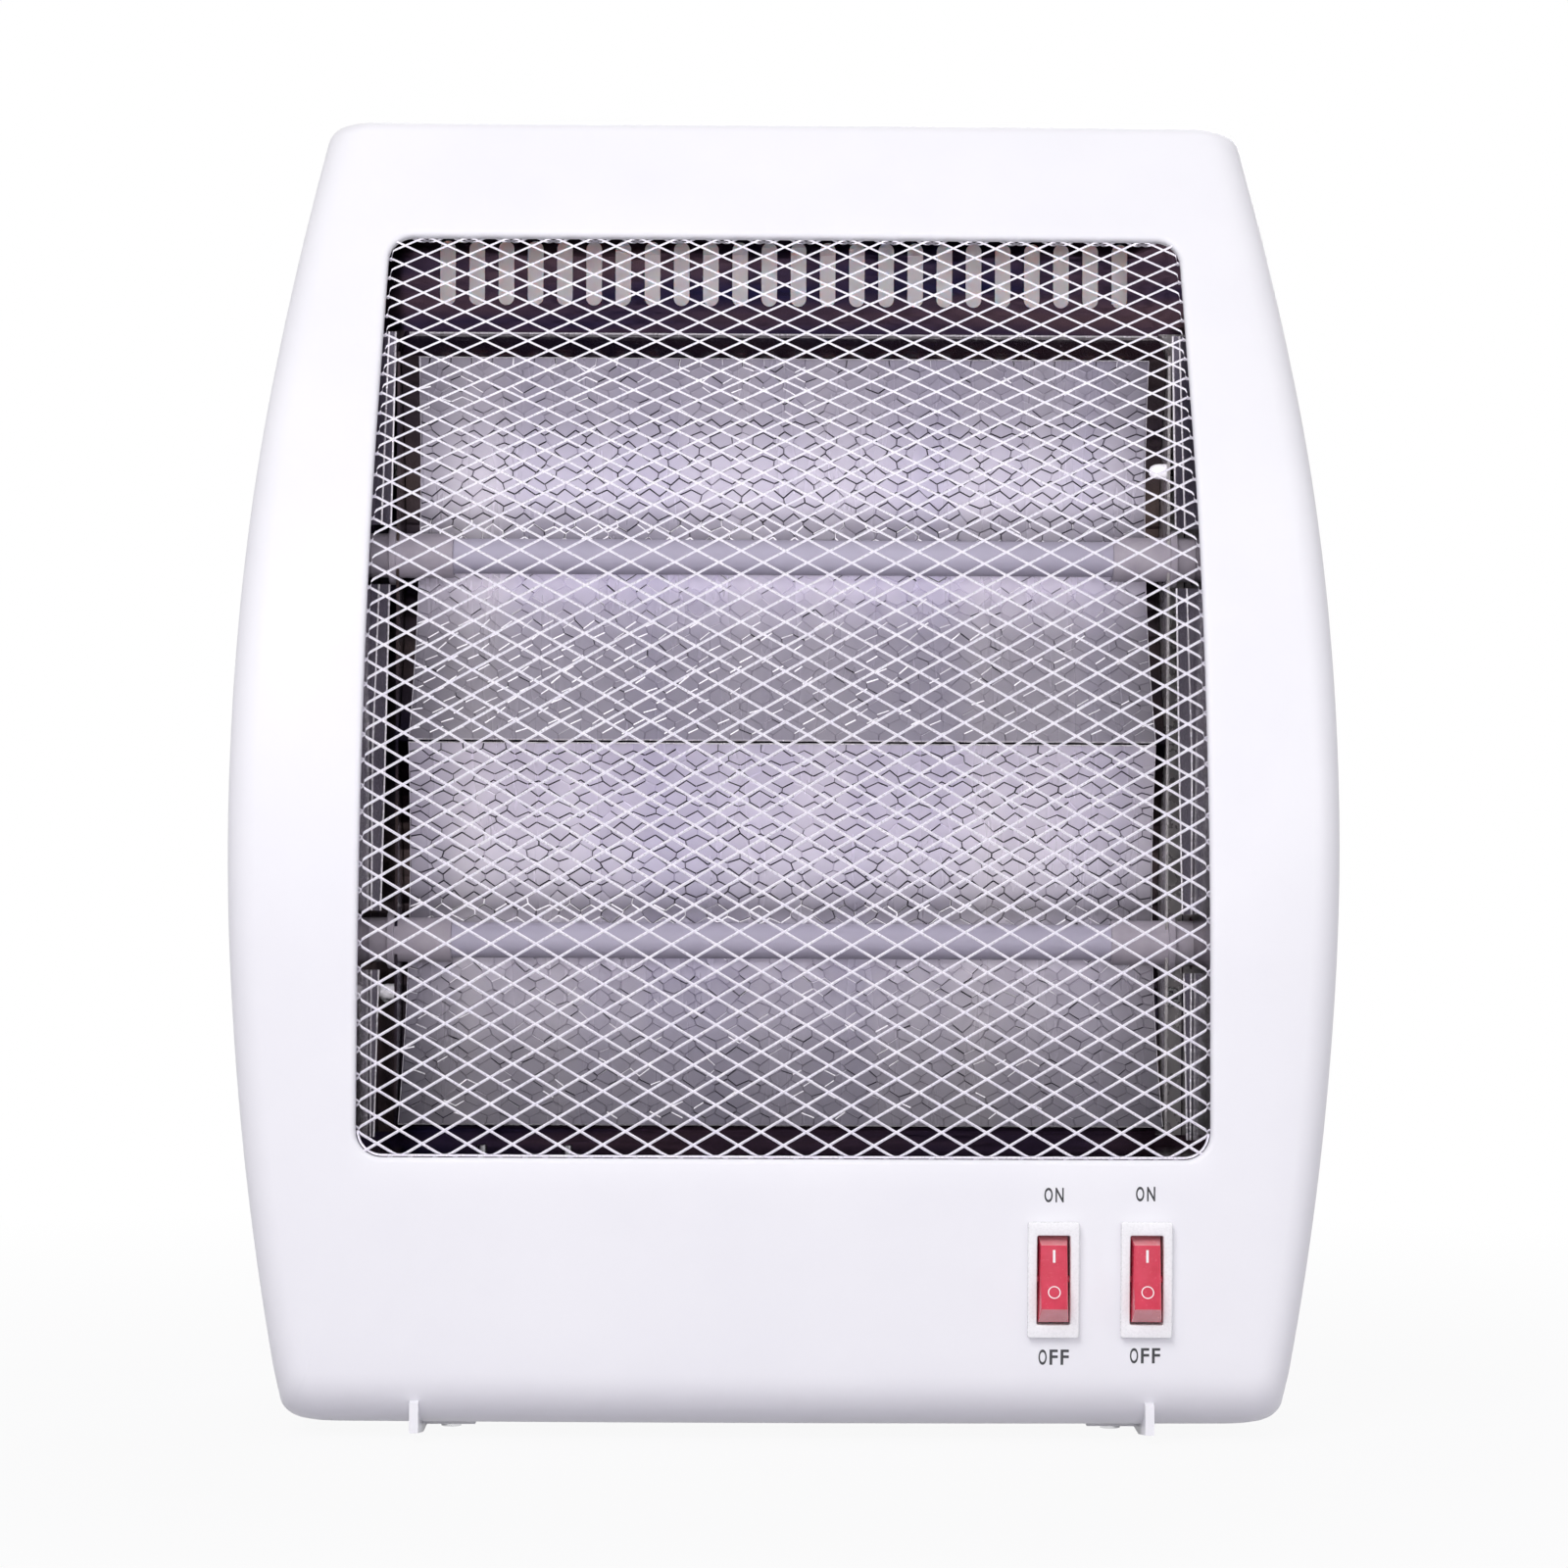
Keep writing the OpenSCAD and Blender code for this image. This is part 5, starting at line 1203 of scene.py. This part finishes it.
# Nodes that are kept as they are, with a look of their own; the reflector's dark look is painted
# shade
carried = {
    "reflector": "burntAluminium", "grille_clips": "platedSteel", "clip_screws": "platedSteel",
    "tube_terminals": "brassTabs", "switch_contacts": "brassTabs", "switch_terminals": "brassTabs",
    "cutout_screws": "platedSteel", "terminal_screws": "platedSteel", "clamp_screws": "platedSteel",
    "tube_wires": "redInsulation", "supply_wires": "blackInsulation",
}
for node, look in carried.items():
    frame["nodes"][node].data.materials.clear()
    addLooks(frame["nodes"][node], look)
print("rigid pieces done")


# Stage, light and camera

stage = {
    "floorSize": 9.0, "floorColour": (0.43, 0.42, 0.47), "floorGlow": (0.93, 1.0),
    "glowReach": (0.2, 0.6), "worldLight": 0.41, "worldColour": (0.99, 0.98, 1.0),
    "ceiling": 0.45, "ceilingFrom": (0.12, 0.8),
}


# Blends in a second shader for a share of the rays that see pure white: the camera's own,
# mirrored ones and those through glass.
def blendWhite(tree, first, second, output, share=None):
    rays = addNode(tree, "ShaderNodeLightPath").outputs
    seen = calculated(tree, "MAXIMUM", rays["Is Camera Ray"], rays["Is Glossy Ray"])
    seen = calculated(tree, "MAXIMUM", seen, rays["Is Transmission Ray"])
    if share:
        seen = calculated(tree, "MULTIPLY", seen, share)
    blend = addNode(tree, "ShaderNodeMixShader", Fac=seen)
    tree.links.new(first.outputs[0], blend.inputs[1])
    tree.links.new(second.outputs[0], blend.inputs[2])
    fill(tree, tree.nodes[output], Surface=blend.outputs[0])


def makeFloorLook():
    material, tree, shader = newMaterial("floorLook")
    fill(tree, shader, Base_Color=(*stage["floorColour"], 1), Roughness=0.9,
         Specular_IOR_Level=0.1)
    glow = addNode(tree, "ShaderNodeEmission", Color=(1, 1, 1, 1), Strength=1.0)
    place = addNode(tree, "ShaderNodeTexCoord").outputs["Object"]
    away = addNode(tree, "ShaderNodeVectorMath", operation="LENGTH", Vector=place).outputs["Value"]
    far = between(tree, away, *stage["floorGlow"], *stage["glowReach"])
    blendWhite(tree, shader, glow, "Material Output", far)
    return material


# Polished metal sees the white backdrop, and a greyer ceiling over it.
def makeWorld():
    world = bpy.data.worlds.new("studio")
    scene.world = world
    world.use_nodes = True
    tree = world.node_tree
    background = fill(tree, tree.nodes["Background"], Color=(*stage["worldColour"], 1),
                      Strength=stage["worldLight"])
    above = axes(tree, "Generated")["Z"]
    ceiling = between(tree, above, 1.0, stage["ceiling"], *stage["ceilingFrom"])
    camera = addNode(tree, "ShaderNodeLightPath").outputs["Is Camera Ray"]
    white = addNode(tree, "ShaderNodeBackground", Color=(1, 1, 1, 1),
                    Strength=calculated(tree, "MAXIMUM", ceiling, camera))
    blendWhite(tree, background, white, "World Output")


bm = bmesh.new()
bmesh.ops.create_grid(bm, x_segments=2, y_segments=2, size=stage["floorSize"] / 2)
floor = newPiece(bm, "floor")
floor.data.materials.append(makeFloorLook())
makeWorld()

# Place, aim, size, power, colour, and whether mirrors show it
lamps = {
    "keyLamp": ((-0.75, -1.7, 1.75), (0, 0, 0.2), 1.3, 33.0, (1.0, 0.99, 0.995), False),
    "frontLamp": ((0.05, -2.6, 0.3), (0, 0, 0.19), 1.0, 20.0, (1.0, 0.99, 1.0), False),
    "fillLamp": ((1.6, -1.5, 0.9), (0, 0, 0.17), 1.0, 6.0, (0.985, 0.98, 1.0), True),
    "backLamp": ((0.3, 1.6, 1.1), (0, 0, 0.2), 1.0, 16.0, (1.0, 0.995, 1.0), True),
    "insideLamp": ((0.0, -2.4, 0.2), (0, 0, 0.19), 0.6, 44.0, (0.985, 0.95, 1.0), False),
}
# The last lamp lights only what lies inside the window
inside = bpy.data.collections.new("insideWindow")
outsideNames = ("frontShell", "mesh", "floor", "foot", "switchHousing", "rocker", "print",
                "caseScrews", "cordGland")
for piece in scene.objects:
    if piece.type == "MESH" and not piece.name.startswith(outsideNames):
        inside.objects.link(piece)
for name, (where, aim, size, power, colour, mirrored) in lamps.items():
    light = bpy.data.lights.new(name, "AREA")
    light.shape = "SQUARE"
    light.size = size
    light.energy = power
    light.color = colour
    lamp = bpy.data.objects.new(name, light)
    lamp.location = where
    lamp.rotation_euler = (Vector(aim) - Vector(where)).to_track_quat("-Z", "Y").to_euler()
    lamp.visible_glossy = mirrored
    if name == "insideLamp":
        lamp.light_linking.receiver_collection = inside
    scene.collection.objects.link(lamp)

view = {
    "lens": 99.5, "sensor": 36, "shift": -0.0008, "clip": (0.01, 50), "distance": 1.150,
    "height": 0.1757, "azimuth": -0.6, "roll": 0.28,
}
cameraData = bpy.data.cameras.new("camera")
cameraData.lens = view["lens"]
cameraData.sensor_width = view["sensor"]
cameraData.shift_x = view["shift"]
cameraData.clip_start, cameraData.clip_end = view["clip"]
camera = bpy.data.objects.new("camera", cameraData)
scene.collection.objects.link(camera)
reach, azimuth = view["distance"], rad(view["azimuth"])
centre = Vector((0, frontY * 0.001, view["height"]))
camera.location = centre + Vector((sin(azimuth) * reach, -cos(azimuth) * reach, 0))
camera.rotation_euler = (Matrix.Rotation(azimuth, 3, "Z") @ Matrix.Rotation(rad(90), 3, "X")
                         @ Matrix.Rotation(rad(view["roll"]), 3, "Z")).to_euler()
scene.camera = camera
scene.view_settings.view_transform = "Standard"
print("stage, light and camera done")
